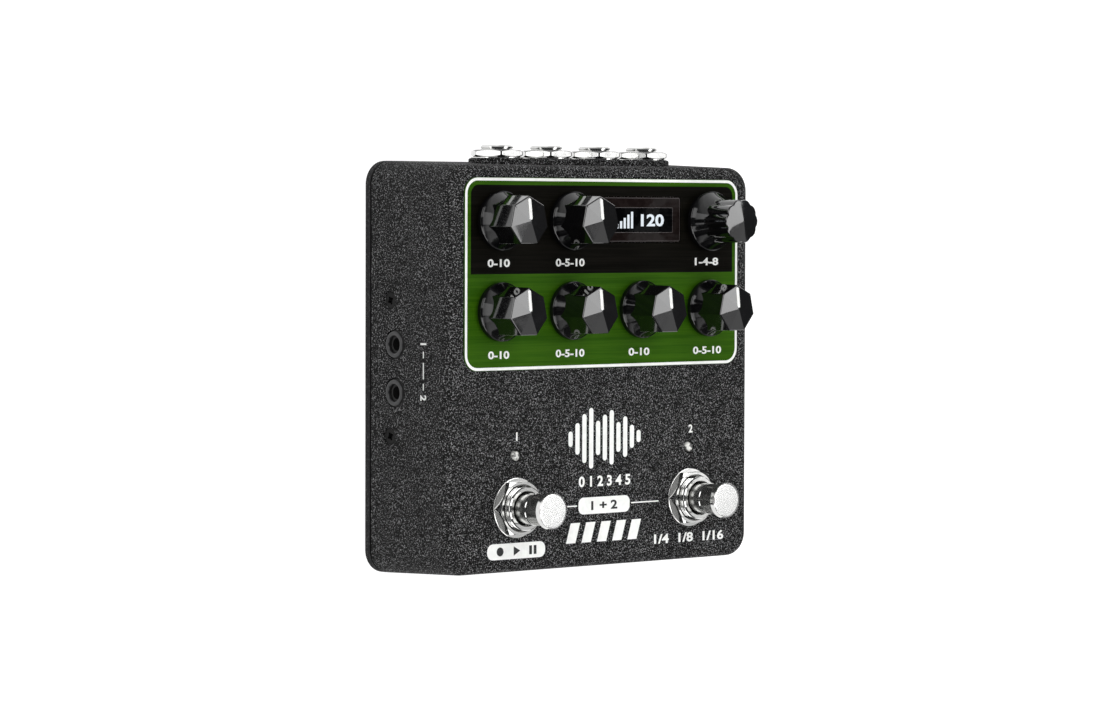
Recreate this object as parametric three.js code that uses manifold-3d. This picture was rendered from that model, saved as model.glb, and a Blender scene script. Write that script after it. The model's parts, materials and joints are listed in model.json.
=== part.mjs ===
// Guitar effects pedal with seven knobs, a small display and two footswitches.
// Millimetres. The case lies flat with its steel plate on Z = 0, the face looks up (+Z),
// and the row of jacks looks back (+Y). The origin is under the middle of the case.

import * as THREE from 'three';
import { mergeVertices } from 'three/addons/utils/BufferGeometryUtils.js';
import Module from 'manifold-3d';

const wasm = await Module();
wasm.setup();

// Driving dimensions of the case
const faceWidth = 110;
const faceLength = 109.4;
const caseHeight = 34.5;
const wallFootReach = 1.35;
const planCornerRadius = 6.4;
const faceEdgeRadius = 3;
const wallThickness = 2.6;
const faceThickness = 2.5;
const plateThickness = 2.2;

// Clearances that many pieces share
const fixedGap = 0.25;
const runningGap = 0.3;
const overrun = 1;

// How finely round shapes are cut
const roundSteps = 20;
const smallSteps = 12;
const cornerSteps = 5;
const edgeSteps = 3;
const sweepSteps = 3;
const lobeSteps = 4;

// Corner posts and the screws that hold the plate
const postRadius = 3.6;
const postBite = 1;
const postHoleDepth = 9;
const plateScrewRadius = 1.5;
const plateScrewLength = 10;
const plateScrewHeadRadius = 2.8;
const plateScrewHeadDepth = 1.6;
const plateScrewSink = 0.2;
const crossRecessWidth = 0.7;
const crossRecessSpan = 3;
const crossRecessDepth = 0.9;

// Printed panel let into the face
const panelSideMargin = 5;
const panelRearMargin = 3.3;
const panelLength = 51.7;
const panelCornerRadius = 4.4;
const panelThickness = 0.6;
const panelRecess = 0.4;

// Rows and columns of the knobs
const columnInset = 11.9;
const upperRowInset = 11.6;
const rowPitch = 24.3;

// Display window and the module under it
const windowLeftGap = 4.05;
const windowRightGap = 1.9;
const windowLength = 12.4;
const windowRowOffset = 0.4;
const windowCornerRadius = 0.6;
const windowLedge = 1.9;
const moduleSideBorder = 2.6;
const moduleEndBorder = 1.6;

// Main circuit board
const boardSideGap = 8.7;
const boardRearGap = 1.9;
const boardSwitchGap = 1.5;
const boardThickness = 1.6;
const boardCornerRadius = 2;
const chipHeight = 1.3;
const processorSide = 14;
const converterWidth = 8;
const converterLength = 6;
const chipRowInset = 19.3;
const chipPitch = 22;

// Potentiometers
const potBodyWidth = 10;
const potBodyLength = 11;
const potBodyHeight = 5;
const potHeadroom = 0.4;
const potBushRadius = 4;
const potFloor = 1;
const shaftRadius = 3;
const shaftFlatDepth = 1.3;

// Seven-sided knobs
const knobSides = 7;
const knobTop = 13.4;
const knobLift = 0.5;
const knobSkirtRadius = 7.95;
const knobSkirtWall = 1.5;
const knobFlareTop = 5.4;
const knobCapRadius = 6.8;
const knobCapTaper = 0.15;
const knobChamfer = 0.5;
const knobCrown = 0.5;
const knobBoreDepth = 9.2;

// Turn-and-press selector and its lobed knob
const encoderBodySide = 12.2;
const encoderChamberRadius = 4.8;
const encoderFloor = 0.9;
const encoderRoof = 1.2;
const pushPlateThickness = 1.2;
const pushPlateLift = 0.7;
const selectKnobLift = 0.9;
const selectKnobTop = 15.2;
const selectLobes = 10;
const selectLobeRadius = 6.25;
const selectLobeDepth = 0.35;
const selectCapHeight = 10.4;
const selectSkirtRadius = 8.3;

// Footswitches
const switchSideMargin = 23.2;
const switchFrontMargin = 17.4;
const switchBodySide = 17;
const switchBodyDepth = 18;
const switchBushRadius = 6;
const switchBushHeight = 4.8;
const switchBushChamfer = 0.6;
const switchBoreRadius = 4.5;
const switchShoulder = 2;
const switchChamberRadius = 5.7;
const switchFloor = 4;
const switchLugWidth = 2;
const switchLugThickness = 0.8;
const switchLugLength = 4;
const switchLugPitch = 5;
const switchNutAcross = 14;
const switchNutHeight = 2;
const switchFlangeRadius = 8.25;
const switchFlangeHeight = 0.7;
const buttonTop = 15.5;
const buttonRadius = 5;
const buttonThickness = 1.6;
const buttonChamfer = 0.4;
const stemRadius = 4.2;
const collarRadius = 5.3;
const collarThickness = 1.5;
const spigotRadius = 2.4;
const spigotLength = 3;
const springMeanRadius = 3.9;
const springWireRadius = 0.4;
const springTurns = 5;
const springStepsPerTurn = 8;
const springSides = 5;

// Status lamps
const lampSwitchOffset = 14;
const lampRadius = 1.5;
const lampFlangeRadius = 2.1;
const lampFlangeHeight = 1;
const lampRise = 0.9;

// Quarter-inch jacks in the rear wall
const jackCount = 4;
const jackPitch = 17.7;
const jackAxisDepth = 14.5;
const jackSeatReach = 2;
const jackSeatRadius = 7.7;
const jackBodyWidth = 15;
const jackBodyLength = 22;
const jackBushRadius = 4.5;
const jackBushReach = 3.6;
const jackBushChamfer = 0.5;
const jackBoreRadius = 3.25;
const jackRearWall = 1.2;
const jackWasherRadius = 7.1;
const jackWasherThickness = 0.4;
const jackNutAcross = 13.1;
const jackNutHeight = 1.9;
const nutCornerChamfer = 0.45;

// Small sockets, their board and the two screws in the left wall
const sideBoardLift = 4.8;
const socketSpacing = 13;
const socketBodyWidth = 8;
const socketBodyHeight = 7.8;
const socketBodyLength = 12.5;
const socketNoseRadius = 3.8;
const socketNoseRise = 0.5;
const socketBoreRadius = 1.8;
const socketMouthRadius = 2.2;
const socketMouthDepth = 1.2;
const socketBoreDepth = 14;
const sideBoardThickness = 1.6;
const sideBoardWidth = 15;
const sideBoardEndMargin = 1.2;
const sideScrewDrop = 2.2;
const sideScrewSpacing = 36.6;
const sideScrewRadius = 1.25;
const sideScrewLength = 7;
const sideScrewHeadRadius = 2.3;
const sideScrewHeadDepth = 1.3;
const sideScrewSink = 0.35;
const sideRecessSpan = 2.4;
const screwBlockWidth = 6;
const screwBlockLength = 5;
const screwBlockHeight = 4.2;

// Power inlet in the right wall
const inletJackGap = 2.4;
const inletBodyWidth = 9.6;
const inletBodyHeight = 11;
const inletBodyLength = 13.5;
const inletNoseRadius = 4.6;
const inletNoseSink = 0.3;
const inletBoreRadius = 3.2;
const inletBoreDepth = 10;
const inletPinRadius = 1.05;
const inletPinSink = 1.5;

// Heights and places worked out from the sizes above
const undersideZ = caseHeight - faceThickness;
const panelSeatZ = caseHeight - panelRecess;
const panelTopZ = panelSeatZ + panelThickness;
const boardTopZ = undersideZ - potHeadroom - potBodyHeight;
const boardBottomZ = boardTopZ - boardThickness;
const jackAxisZ = caseHeight - jackAxisDepth;
const sideBoardTopZ = plateThickness + sideBoardLift + sideBoardThickness;
const socketAxisZ = sideBoardTopZ + socketBodyHeight / 2;
const sideScrewZ = socketAxisZ - sideScrewDrop;
const inletAxisZ = boardBottomZ - inletBodyHeight / 2;
const knobBottomZ = panelTopZ + knobLift;
const selectKnobBottomZ = panelTopZ + selectKnobLift;
const potBushTopZ = panelTopZ - fixedGap;

// Half the case's width and length at a height, on the leaning walls
const halfWidthAt = (z) => faceWidth / 2 + wallFootReach * (caseHeight - z) / caseHeight;
const halfLengthAt = (z) => faceLength / 2 + wallFootReach * (caseHeight - z) / caseHeight;

// Places on the face, worked out from its edges
const upperRow = ['bass', 'treble'];
const lowerRow = ['time', 'repeat', 'level', 'reverb'];
const columnCount = lowerRow.length;
const lastColumn = columnCount - 1;
const panelWidth = faceWidth - 2 * panelSideMargin;
const panelRearY = faceLength / 2 - panelRearMargin;
const panelCentreY = panelRearY - panelLength / 2;
const controlPitch = (panelWidth - 2 * columnInset) / lastColumn;
const columnX = (column) => (column - lastColumn / 2) * controlPitch;
const upperRowY = panelRearY - upperRowInset;
const lowerRowY = upperRowY - rowPitch;
const switchX = faceWidth / 2 - switchSideMargin;
const switchY = switchFrontMargin - faceLength / 2;
const lampY = switchY + lampSwitchOffset;
const jackSeatY = faceLength / 2 + jackSeatReach;

// Display window between the knobs to its left and right
const windowLeftX = columnX(upperRow.length - 1) + knobSkirtRadius + windowLeftGap;
const windowRightX = columnX(lastColumn) - selectSkirtRadius - windowRightGap;
const windowX = (windowLeftX + windowRightX) / 2;
const windowY = upperRowY + windowRowOffset;
const windowWidth = windowRightX - windowLeftX;
const apertureWidth = windowWidth - 2 * windowLedge;
const apertureLength = windowLength - 2 * windowLedge;

// Edges of the boards and of the jack row inside the case
const boardWidth = 2 * (halfWidthAt(boardTopZ) - wallThickness - boardSideGap);
const boardRearY = halfLengthAt(boardTopZ) - wallThickness - boardRearGap;
const boardFrontY = switchY + switchBodySide / 2 + boardSwitchGap;
const sideBoardLength = sideScrewSpacing + screwBlockWidth + 2 * sideBoardEndMargin;
const jackBodyRearY = halfLengthAt(boardBottomZ) - wallThickness - fixedGap;
const inletY = jackBodyRearY - jackBodyLength - inletJackGap - inletBodyWidth / 2;

// Materials, as colour, roughness and metalness
const finish = (color, roughness, metalness) => (
  new THREE.MeshStandardMaterial({ color, roughness, metalness })
);
const powderCoat = () => finish(0x35353a, 0.8, 0.1);
const blackSteel = () => finish(0x1c1c1e, 0.55, 0.4);
const panelPrint = () => finish(0x36570f, 0.45, 0.3);
const smokedLens = () => finish(0x100d0e, 0.08, 0);
const glossBlack = () => finish(0x0b0b0c, 0.12, 0);
const chrome = () => finish(0xd9dadb, 0.12, 1);
const springSteel = () => finish(0x9a9c9e, 0.35, 1);
const blackPlastic = () => finish(0x161617, 0.5, 0);
const circuitBoard = () => finish(0x14402a, 0.5, 0);
const clearLens = () => finish(0xe9ecee, 0.15, 0);

// Turns a closed geometry into a solid for joining and cutting
function toSolid(geometry) {
  const bare = geometry.clone();
  bare.deleteAttribute('normal');
  bare.deleteAttribute('uv');
  const merged = mergeVertices(bare);
  const points = merged.attributes.position.array;
  const corners = merged.index.array;
  const triangles = [];
  for (let i = 0; i < corners.length; i += 3) {
    const [a, b, c] = [corners[i], corners[i + 1], corners[i + 2]];
    if (a !== b && b !== c && c !== a) {
      triangles.push(a, b, c);
    }
  }
  if (signedVolume(points, triangles) < 0) {
    triangles.reverse();
  }
  return new wasm.Manifold(new wasm.Mesh({
    numProp: 3,
    vertProperties: new Float32Array(points),
    triVerts: new Uint32Array(triangles),
  }));
}

// Volume inside the triangles, negative when they face inwards
function signedVolume(points, triangles) {
  const corner = (i) => new THREE.Vector3().fromArray(points, 3 * triangles[i]);
  let total = 0;
  for (let i = 0; i < triangles.length; i += 3) {
    total += corner(i).dot(corner(i + 1).cross(corner(i + 2)));
  }
  return total / 6;
}

// Turns a solid back into a flat-shaded geometry
function toGeometry(solid) {
  const mesh = solid.getMesh();
  const geometry = new THREE.BufferGeometry();
  geometry.setAttribute('position', new THREE.BufferAttribute(new Float32Array(mesh.vertProperties), 3));
  geometry.setIndex(new THREE.BufferAttribute(new Uint32Array(mesh.triVerts), 1));
  const flat = geometry.toNonIndexed();
  flat.computeVertexNormals();
  return flat;
}

function combine(first, others, how) {
  let solid = toSolid(first);
  for (const other of others) {
    solid = how(solid, toSolid(other));
  }
  return toGeometry(solid);
}

const join = (first, ...others) => combine(first, others, (a, b) => a.add(b));
const cut = (first, ...others) => combine(first, others, (a, b) => a.subtract(b));
const common = (first, ...others) => combine(first, others, (a, b) => a.intersect(b));

// Basic forms, each standing on Z = 0 and centred on the Z axis
const block = (width, length, height) => (
  new THREE.BoxGeometry(width, length, height).translate(0, 0, height / 2)
);

const rod = (radius, height, steps = roundSteps) => cone(radius, radius, height, steps);

function cone(bottomRadius, topRadius, height, steps = roundSteps) {
  const geometry = new THREE.CylinderGeometry(topRadius, bottomRadius, height, steps);
  return geometry.rotateX(Math.PI / 2).translate(0, 0, height / 2);
}

// Revolves points of [radius, z] about the Z axis
function turned(profile, steps = roundSteps) {
  const points = profile.map(([radius, z]) => new THREE.Vector2(radius, z));
  return new THREE.LatheGeometry(points, steps).rotateX(Math.PI / 2);
}

function prism(points, height) {
  const shape = new THREE.Shape(points);
  return new THREE.ExtrudeGeometry(shape, { depth: height, bevelEnabled: false });
}

function polygonPoints(sides, radius, firstAngle) {
  const points = [];
  for (let i = 0; i < sides; i += 1) {
    const angle = firstAngle + 2 * Math.PI * i / sides;
    points.push(new THREE.Vector2(radius * Math.cos(angle), radius * Math.sin(angle)));
  }
  return points;
}

// Points anticlockwise round a rectangle with round corners
function roundedOutline(halfWidth, halfLength, radius) {
  const points = [];
  const quarters = [[1, 1], [-1, 1], [-1, -1], [1, -1]];
  quarters.forEach(([sideX, sideY], quarter) => {
    for (let step = 0; step <= cornerSteps; step += 1) {
      const angle = (quarter + step / cornerSteps) * Math.PI / 2;
      const x = sideX * (halfWidth - radius) + radius * Math.cos(angle);
      const y = sideY * (halfLength - radius) + radius * Math.sin(angle);
      points.push(new THREE.Vector2(x, y));
    }
  });
  return points;
}

// Skins a stack of rings that have as many points each, the lowest ring first
function loft(rings) {
  const count = rings[0].outline.length;
  const positions = [];
  const index = [];
  for (const { outline, z } of rings) {
    outline.forEach((point) => positions.push(point.x, point.y, z));
  }
  for (let level = 0; level < rings.length - 1; level += 1) {
    for (let i = 0; i < count; i += 1) {
      const a = level * count + i;
      const b = level * count + (i + 1) % count;
      index.push(a, b, b + count, a, b + count, a + count);
    }
  }
  const top = (rings.length - 1) * count;
  for (let i = 1; i < count - 1; i += 1) {
    index.push(0, i + 1, i, top, top + i, top + i + 1);
  }
  const geometry = new THREE.BufferGeometry();
  geometry.setAttribute('position', new THREE.Float32BufferAttribute(positions, 3));
  geometry.setIndex(index);
  return geometry;
}

function slab(width, length, height, radius) {
  const outline = roundedOutline(width / 2, length / 2, radius);
  return loft([{ outline, z: 0 }, { outline, z: height }]);
}

// Cylinder with one flat, as on a knob's shaft and in its bore
function flattedRod(radius, height, flatDepth) {
  const flat = block(2 * radius, 2 * radius, height + 2 * overrun);
  return cut(rod(radius, height), flat.translate(0, 2 * radius - flatDepth, -overrun));
}

// Hexagon whose corners are turned down at the top and, for a loose nut, at the bottom too
function hexNut(across, height, bothEnds) {
  const hexSides = 6;
  const flatRadius = across / 2;
  const cornerRadius = flatRadius / Math.cos(Math.PI / hexSides);
  const bottomRadius = bothEnds ? flatRadius : cornerRadius;
  const turnedDown = turned([
    [0, 0],
    [bottomRadius, 0],
    [cornerRadius, bothEnds ? nutCornerChamfer : 0],
    [cornerRadius, height - nutCornerChamfer],
    [flatRadius, height],
    [0, height],
  ]);
  return common(prism(polygonPoints(hexSides, cornerRadius, 0), height), turnedDown);
}

// Countersunk screw with a cross recess, head up at Z = 0 and shank down
function countersunkScrew(headRadius, headDepth, shankRadius, length, recessSpan) {
  const body = turned([
    [0, -length],
    [shankRadius, -length],
    [shankRadius, -headDepth],
    [headRadius, 0],
    [0, 0],
  ], smallSteps);
  const bar = () => (
    block(recessSpan, crossRecessWidth, crossRecessDepth + overrun).translate(0, 0, -crossRecessDepth)
  );
  return cut(body, bar(), bar().rotateZ(Math.PI / 2));
}

// Room for such a screw, with its clearance, cut upwards past the head
function screwRoom(headRadius, headDepth, shankRadius, length) {
  return turned([
    [0, -length],
    [shankRadius + fixedGap, -length],
    [shankRadius + fixedGap, -headDepth],
    [headRadius + fixedGap, 0],
    [headRadius + fixedGap, overrun],
    [0, overrun],
  ], smallSteps);
}

const pedal = new THREE.Group();

function add(name, geometry, material, x = 0, y = 0, z = 0) {
  const mesh = new THREE.Mesh(geometry, material);
  mesh.name = name;
  mesh.position.set(x, y, z);
  pedal.add(mesh);
}

// Places of what repeats
const jackX = (index) => (index - (jackCount - 1) / 2) * jackPitch;
const sides = [{ label: 'left', sign: -1 }, { label: 'right', sign: 1 }];
const ends = [{ label: 'front', sign: -1 }, { label: 'rear', sign: 1 }];
const postX = halfWidthAt(plateThickness) - wallThickness - postRadius + postBite;
const postY = halfLengthAt(plateThickness) - wallThickness - postRadius + postBite;
const sideWallX = -halfWidthAt(socketAxisZ);
const sideScrewX = -halfWidthAt(sideScrewZ) + sideScrewSink;
const potentiometers = [
  ...upperRow.map((name, column) => ({ name, column, y: upperRowY })),
  ...lowerRow.map((name, column) => ({ name, column, y: lowerRowY })),
];
const selector = { column: lastColumn, y: upperRowY };

// Outside of the case: leaning walls and a rounded edge round the face
function caseOutside() {
  const ring = (z, inset) => ({
    outline: roundedOutline(halfWidthAt(z) - inset, halfLengthAt(z) - inset, planCornerRadius - inset),
    z,
  });
  const rings = [ring(plateThickness, 0)];
  for (let step = 0; step <= edgeSteps; step += 1) {
    const angle = step / edgeSteps * Math.PI / 2;
    const rise = faceEdgeRadius * Math.sin(angle);
    rings.push(ring(caseHeight - faceEdgeRadius + rise, faceEdgeRadius * (1 - Math.cos(angle))));
  }
  return loft(rings);
}

// Inside of the case, with the four corner posts left standing
function caseInside() {
  const ring = (z) => ({
    outline: roundedOutline(
      halfWidthAt(z) - wallThickness,
      halfLengthAt(z) - wallThickness,
      planCornerRadius - wallThickness,
    ),
    z,
  });
  const room = loft([ring(plateThickness - overrun), ring(undersideZ)]);
  const posts = [];
  for (const { sign: signX } of sides) {
    for (const { sign: signY } of ends) {
      const post = rod(postRadius, caseHeight + overrun, smallSteps);
      posts.push(post.translate(signX * postX, signY * postY, 0));
    }
  }
  return cut(room, ...posts);
}

// Flat land across the leaning rear wall, on which the jack washers seat
function jackLand() {
  const halfSpan = (jackCount - 1) / 2 * jackPitch + jackSeatRadius;
  const rootY = halfLengthAt(caseHeight) - wallThickness / 2;
  const outline = roundedOutline(halfSpan, jackSeatRadius, jackSeatRadius);
  const land = loft([{ outline, z: 0 }, { outline, z: jackSeatY - rootY }]);
  return land.rotateX(-Math.PI / 2).translate(0, rootY, jackAxisZ);
}

function enclosureShell() {
  const holes = [];
  const down = (radius, x, y) => {
    holes.push(rod(radius, faceThickness + 2 * overrun).translate(x, y, undersideZ - overrun));
  };
  for (const { column, y } of [...potentiometers, selector]) {
    down(potBushRadius + fixedGap, columnX(column), y);
  }
  for (const { sign } of sides) {
    down(switchBushRadius + fixedGap, sign * switchX, switchY);
    down(lampRadius + fixedGap, sign * switchX, lampY);
  }
  for (let i = 0; i < jackCount; i += 1) {
    const bore = rod(jackBushRadius + fixedGap, 2 * (wallThickness + overrun));
    bore.rotateX(-Math.PI / 2);
    holes.push(bore.translate(jackX(i), jackSeatY - 2 * wallThickness - overrun, jackAxisZ));
  }
  for (const { sign } of ends) {
    const bore = rod(socketNoseRadius + fixedGap, wallThickness + 2 * overrun).rotateY(Math.PI / 2);
    holes.push(bore.translate(sideWallX - overrun, sign * socketSpacing / 2, socketAxisZ));
    const screw = screwRoom(
      sideScrewHeadRadius, sideScrewHeadDepth, sideScrewRadius, wallThickness + overrun);
    screw.rotateY(-Math.PI / 2);
    holes.push(screw.translate(sideScrewX, sign * sideScrewSpacing / 2, sideScrewZ));
  }
  const inlet = rod(inletNoseRadius + fixedGap, wallThickness + 2 * overrun).rotateY(Math.PI / 2);
  holes.push(inlet.translate(halfWidthAt(inletAxisZ) - wallThickness - overrun, inletY, inletAxisZ));
  for (const { sign: signX } of sides) {
    for (const { sign: signY } of ends) {
      const hole = rod(plateScrewRadius + fixedGap, postHoleDepth + overrun, smallSteps);
      holes.push(hole.translate(signX * postX, signY * postY, plateThickness - overrun));
    }
  }
  const aperture = block(apertureWidth, apertureLength, faceThickness + 2 * overrun);
  holes.push(aperture.translate(windowX, windowY, undersideZ - overrun));
  const recess = slab(
    panelWidth + 2 * fixedGap,
    panelLength + 2 * fixedGap,
    panelRecess + overrun,
    panelCornerRadius + fixedGap,
  );
  holes.push(recess.translate(0, panelCentreY, panelSeatZ));
  return cut(join(caseOutside(), jackLand()), caseInside(), ...holes);
}

function basePlate() {
  const halfWidth = halfWidthAt(plateThickness);
  const halfLength = halfLengthAt(plateThickness);
  const plate = slab(2 * halfWidth, 2 * halfLength, plateThickness, planCornerRadius);
  const rooms = [];
  for (const { sign: signX } of sides) {
    for (const { sign: signY } of ends) {
      const room = screwRoom(
        plateScrewHeadRadius, plateScrewHeadDepth, plateScrewRadius, plateThickness + overrun);
      room.rotateX(Math.PI);
      rooms.push(room.translate(signX * postX, signY * postY, plateScrewSink));
    }
  }
  return cut(plate, ...rooms);
}

function addBasePlateAndScrews() {
  add('base_plate', basePlate(), blackSteel());
  for (const { label: endLabel, sign: signY } of ends) {
    for (const { label: sideLabel, sign: signX } of sides) {
      const screw = countersunkScrew(
        plateScrewHeadRadius, plateScrewHeadDepth, plateScrewRadius, plateScrewLength, crossRecessSpan);
      screw.rotateX(Math.PI);
      const name = `base_screw_${endLabel}_${sideLabel}`;
      add(name, screw, blackSteel(), signX * postX, signY * postY, plateScrewSink);
    }
  }
}

function controlPanelPlate() {
  const plate = slab(panelWidth, panelLength, panelThickness, panelCornerRadius);
  plate.translate(0, panelCentreY, 0);
  const holes = [...potentiometers, selector].map(({ column, y }) => (
    rod(potBushRadius + fixedGap, panelThickness + 2 * overrun).translate(columnX(column), y, -overrun)
  ));
  const opening = slab(
    windowWidth + 2 * fixedGap,
    windowLength + 2 * fixedGap,
    panelThickness + 2 * overrun,
    windowCornerRadius + fixedGap,
  );
  return cut(plate, ...holes, opening.translate(windowX, windowY, -overrun));
}

function addDisplay() {
  const lens = slab(windowWidth, windowLength, panelThickness, windowCornerRadius);
  add('display_window', lens, smokedLens(), windowX, windowY, panelSeatZ);
  const carrier = block(
    apertureWidth + 2 * moduleSideBorder,
    apertureLength + 2 * moduleEndBorder,
    undersideZ - fixedGap - boardTopZ,
  );
  const glass = block(
    apertureWidth - 2 * fixedGap,
    apertureLength - 2 * fixedGap,
    panelSeatZ - fixedGap - boardTopZ,
  );
  add('display_module', join(carrier, glass), blackPlastic(), windowX, windowY, boardTopZ);
}

function mainCircuitBoard() {
  const length = boardRearY - boardFrontY;
  const board = slab(boardWidth, length, boardThickness, boardCornerRadius);
  board.translate(0, (boardRearY + boardFrontY) / 2, 0);
  const rootZ = boardThickness / 2;
  const chipRowY = boardFrontY + chipRowInset;
  const chip = (width, depth, x) => (
    block(width, depth, rootZ + chipHeight).translate(x, chipRowY, rootZ)
  );
  return join(
    board,
    chip(processorSide, processorSide, 0),
    chip(converterWidth, converterLength, -chipPitch),
    chip(converterWidth, converterLength, chipPitch),
  );
}

// Potentiometer standing on the board: a low box and a round bush that guides the shaft
function potBody() {
  const bushHeight = potBushTopZ - boardTopZ;
  const body = join(block(potBodyWidth, potBodyLength, potBodyHeight), rod(potBushRadius, bushHeight));
  return cut(body, rod(shaftRadius + runningGap, bushHeight + overrun).translate(0, 0, potFloor));
}

// Shaft whose upper end, inside the knob, has one flat
function potShaft(height) {
  const round = rod(shaftRadius, height - knobBoreDepth);
  const flatted = flattedRod(shaftRadius, knobBoreDepth, shaftFlatDepth);
  return join(round, flatted.translate(0, 0, height - knobBoreDepth));
}

const shaftBore = (depth) => (
  flattedRod(shaftRadius + fixedGap, depth + overrun, shaftFlatDepth).translate(0, 0, -overrun)
);

// Round skirt that sweeps up in a hollow curve into the cap
function knobSkirt(skirtRadius, waistRadius) {
  const profile = [[0, 0], [skirtRadius, 0], [skirtRadius, knobSkirtWall]];
  for (let step = 1; step <= sweepSteps; step += 1) {
    const angle = step / sweepSteps * Math.PI / 2;
    const radius = skirtRadius - (skirtRadius - waistRadius) * Math.sin(angle);
    profile.push([radius, knobFlareTop - (knobFlareTop - knobSkirtWall) * Math.cos(angle)]);
  }
  profile.push([0, knobFlareTop]);
  return turned(profile);
}

// Seven-sided knob with a corner towards the rear, where its pointer line is
function knob() {
  const height = caseHeight + knobTop - knobBottomZ;
  const ring = (radius, z) => ({ outline: polygonPoints(knobSides, radius, Math.PI / 2), z });
  const cap = loft([
    ring(knobCapRadius, 0),
    ring(knobCapRadius - knobCapTaper, height - knobCrown - knobChamfer),
    ring(knobCapRadius - knobCapTaper - knobChamfer, height - knobCrown),
    ring(knobChamfer, height),
  ]);
  const flatRadius = knobCapRadius * Math.cos(Math.PI / knobSides);
  const skirt = knobSkirt(knobSkirtRadius, flatRadius);
  return cut(join(skirt, cap), shaftBore(knobBoreDepth));
}

function selectKnob() {
  const height = caseHeight + selectKnobTop - selectKnobBottomZ;
  const points = (inset) => {
    const list = [];
    const steps = selectLobes * lobeSteps;
    for (let i = 0; i < steps; i += 1) {
      const angle = 2 * Math.PI * i / steps;
      const ripple = selectLobeDepth * (1 - Math.abs(Math.cos(angle * selectLobes / 2)));
      const radius = selectLobeRadius - ripple - inset;
      list.push(new THREE.Vector2(radius * Math.cos(angle), radius * Math.sin(angle)));
    }
    return list;
  };
  const cap = loft([
    { outline: points(0), z: height - selectCapHeight },
    { outline: points(0), z: height - knobChamfer },
    { outline: points(knobChamfer), z: height },
  ]);
  const waistRadius = selectLobeRadius - selectLobeDepth;
  const skirt = knobSkirt(selectSkirtRadius, waistRadius);
  return cut(join(skirt, cap), shaftBore(knobBoreDepth));
}

function addPotentiometers() {
  const shaftFootZ = boardTopZ + potFloor + runningGap;
  const shaftHeight = knobBottomZ + knobBoreDepth - fixedGap - shaftFootZ;
  for (const { name, column, y } of potentiometers) {
    add(`${name}_pot_body`, potBody(), blackPlastic(), columnX(column), y, boardTopZ);
    add(`${name}_pot_shaft`, potShaft(shaftHeight), springSteel(), columnX(column), y, shaftFootZ);
    add(`${name}_knob`, knob(), glossBlack(), columnX(column), y, knobBottomZ);
  }
}

// Selector: its shaft turns with the knob and stands on a plate that is pressed down with it
function addSelector() {
  const x = columnX(selector.column);
  const { y } = selector;
  const bushHeight = potBushTopZ - boardTopZ;
  const chamberHeight = potBodyHeight - encoderFloor - encoderRoof;
  const body = cut(
    join(block(encoderBodySide, encoderBodySide, potBodyHeight), rod(potBushRadius, bushHeight)),
    rod(encoderChamberRadius, chamberHeight).translate(0, 0, encoderFloor),
    rod(shaftRadius + runningGap, bushHeight).translate(0, 0, encoderFloor),
  );
  add('select_encoder_body', body, blackPlastic(), x, y, boardTopZ);
  const plateZ = boardTopZ + encoderFloor + pushPlateLift;
  const plate = rod(encoderChamberRadius - runningGap, pushPlateThickness);
  add('select_push_plate', plate, blackPlastic(), x, y, plateZ);
  const shaftFootZ = plateZ + pushPlateThickness + fixedGap;
  const shaftHeight = selectKnobBottomZ + knobBoreDepth - fixedGap - shaftFootZ;
  add('select_encoder_shaft', potShaft(shaftHeight), springSteel(), x, y, shaftFootZ);
  add('select_knob', selectKnob(), glossBlack(), x, y, selectKnobBottomZ);
}

// Round wire wound upwards from Z = 0, one unbroken tube
function coilSpring(height) {
  const climb = height - 2 * springWireRadius;
  const steps = springTurns * springStepsPerTurn;
  const positions = [];
  const index = [];
  for (let step = 0; step <= steps; step += 1) {
    const turn = 2 * Math.PI * step / springStepsPerTurn;
    for (let side = 0; side < springSides; side += 1) {
      const around = 2 * Math.PI * side / springSides;
      const radius = springMeanRadius + springWireRadius * Math.cos(around);
      const z = springWireRadius + climb * step / steps + springWireRadius * Math.sin(around);
      positions.push(radius * Math.cos(turn), radius * Math.sin(turn), z);
    }
  }
  for (let step = 0; step < steps; step += 1) {
    for (let side = 0; side < springSides; side += 1) {
      const a = step * springSides + side;
      const b = step * springSides + (side + 1) % springSides;
      index.push(a, b + springSides, b, a, a + springSides, b + springSides);
    }
  }
  const last = steps * springSides;
  for (let side = 1; side < springSides - 1; side += 1) {
    index.push(0, side, side + 1, last, last + side + 1, last + side);
  }
  const geometry = new THREE.BufferGeometry();
  geometry.setAttribute('position', new THREE.Float32BufferAttribute(positions, 3));
  geometry.setIndex(index);
  return toGeometry(toSolid(geometry));
}

// Heights inside a footswitch, from the floor of the pedal
const switchBottomZ = undersideZ - switchBodyDepth;
const chamberFloorZ = switchBottomZ + switchFloor;
const chamberTopZ = undersideZ - switchShoulder;
const collarTopZ = chamberTopZ - runningGap;
const collarBottomZ = collarTopZ - collarThickness;
const buttonTopZ = caseHeight + buttonTop;

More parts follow.
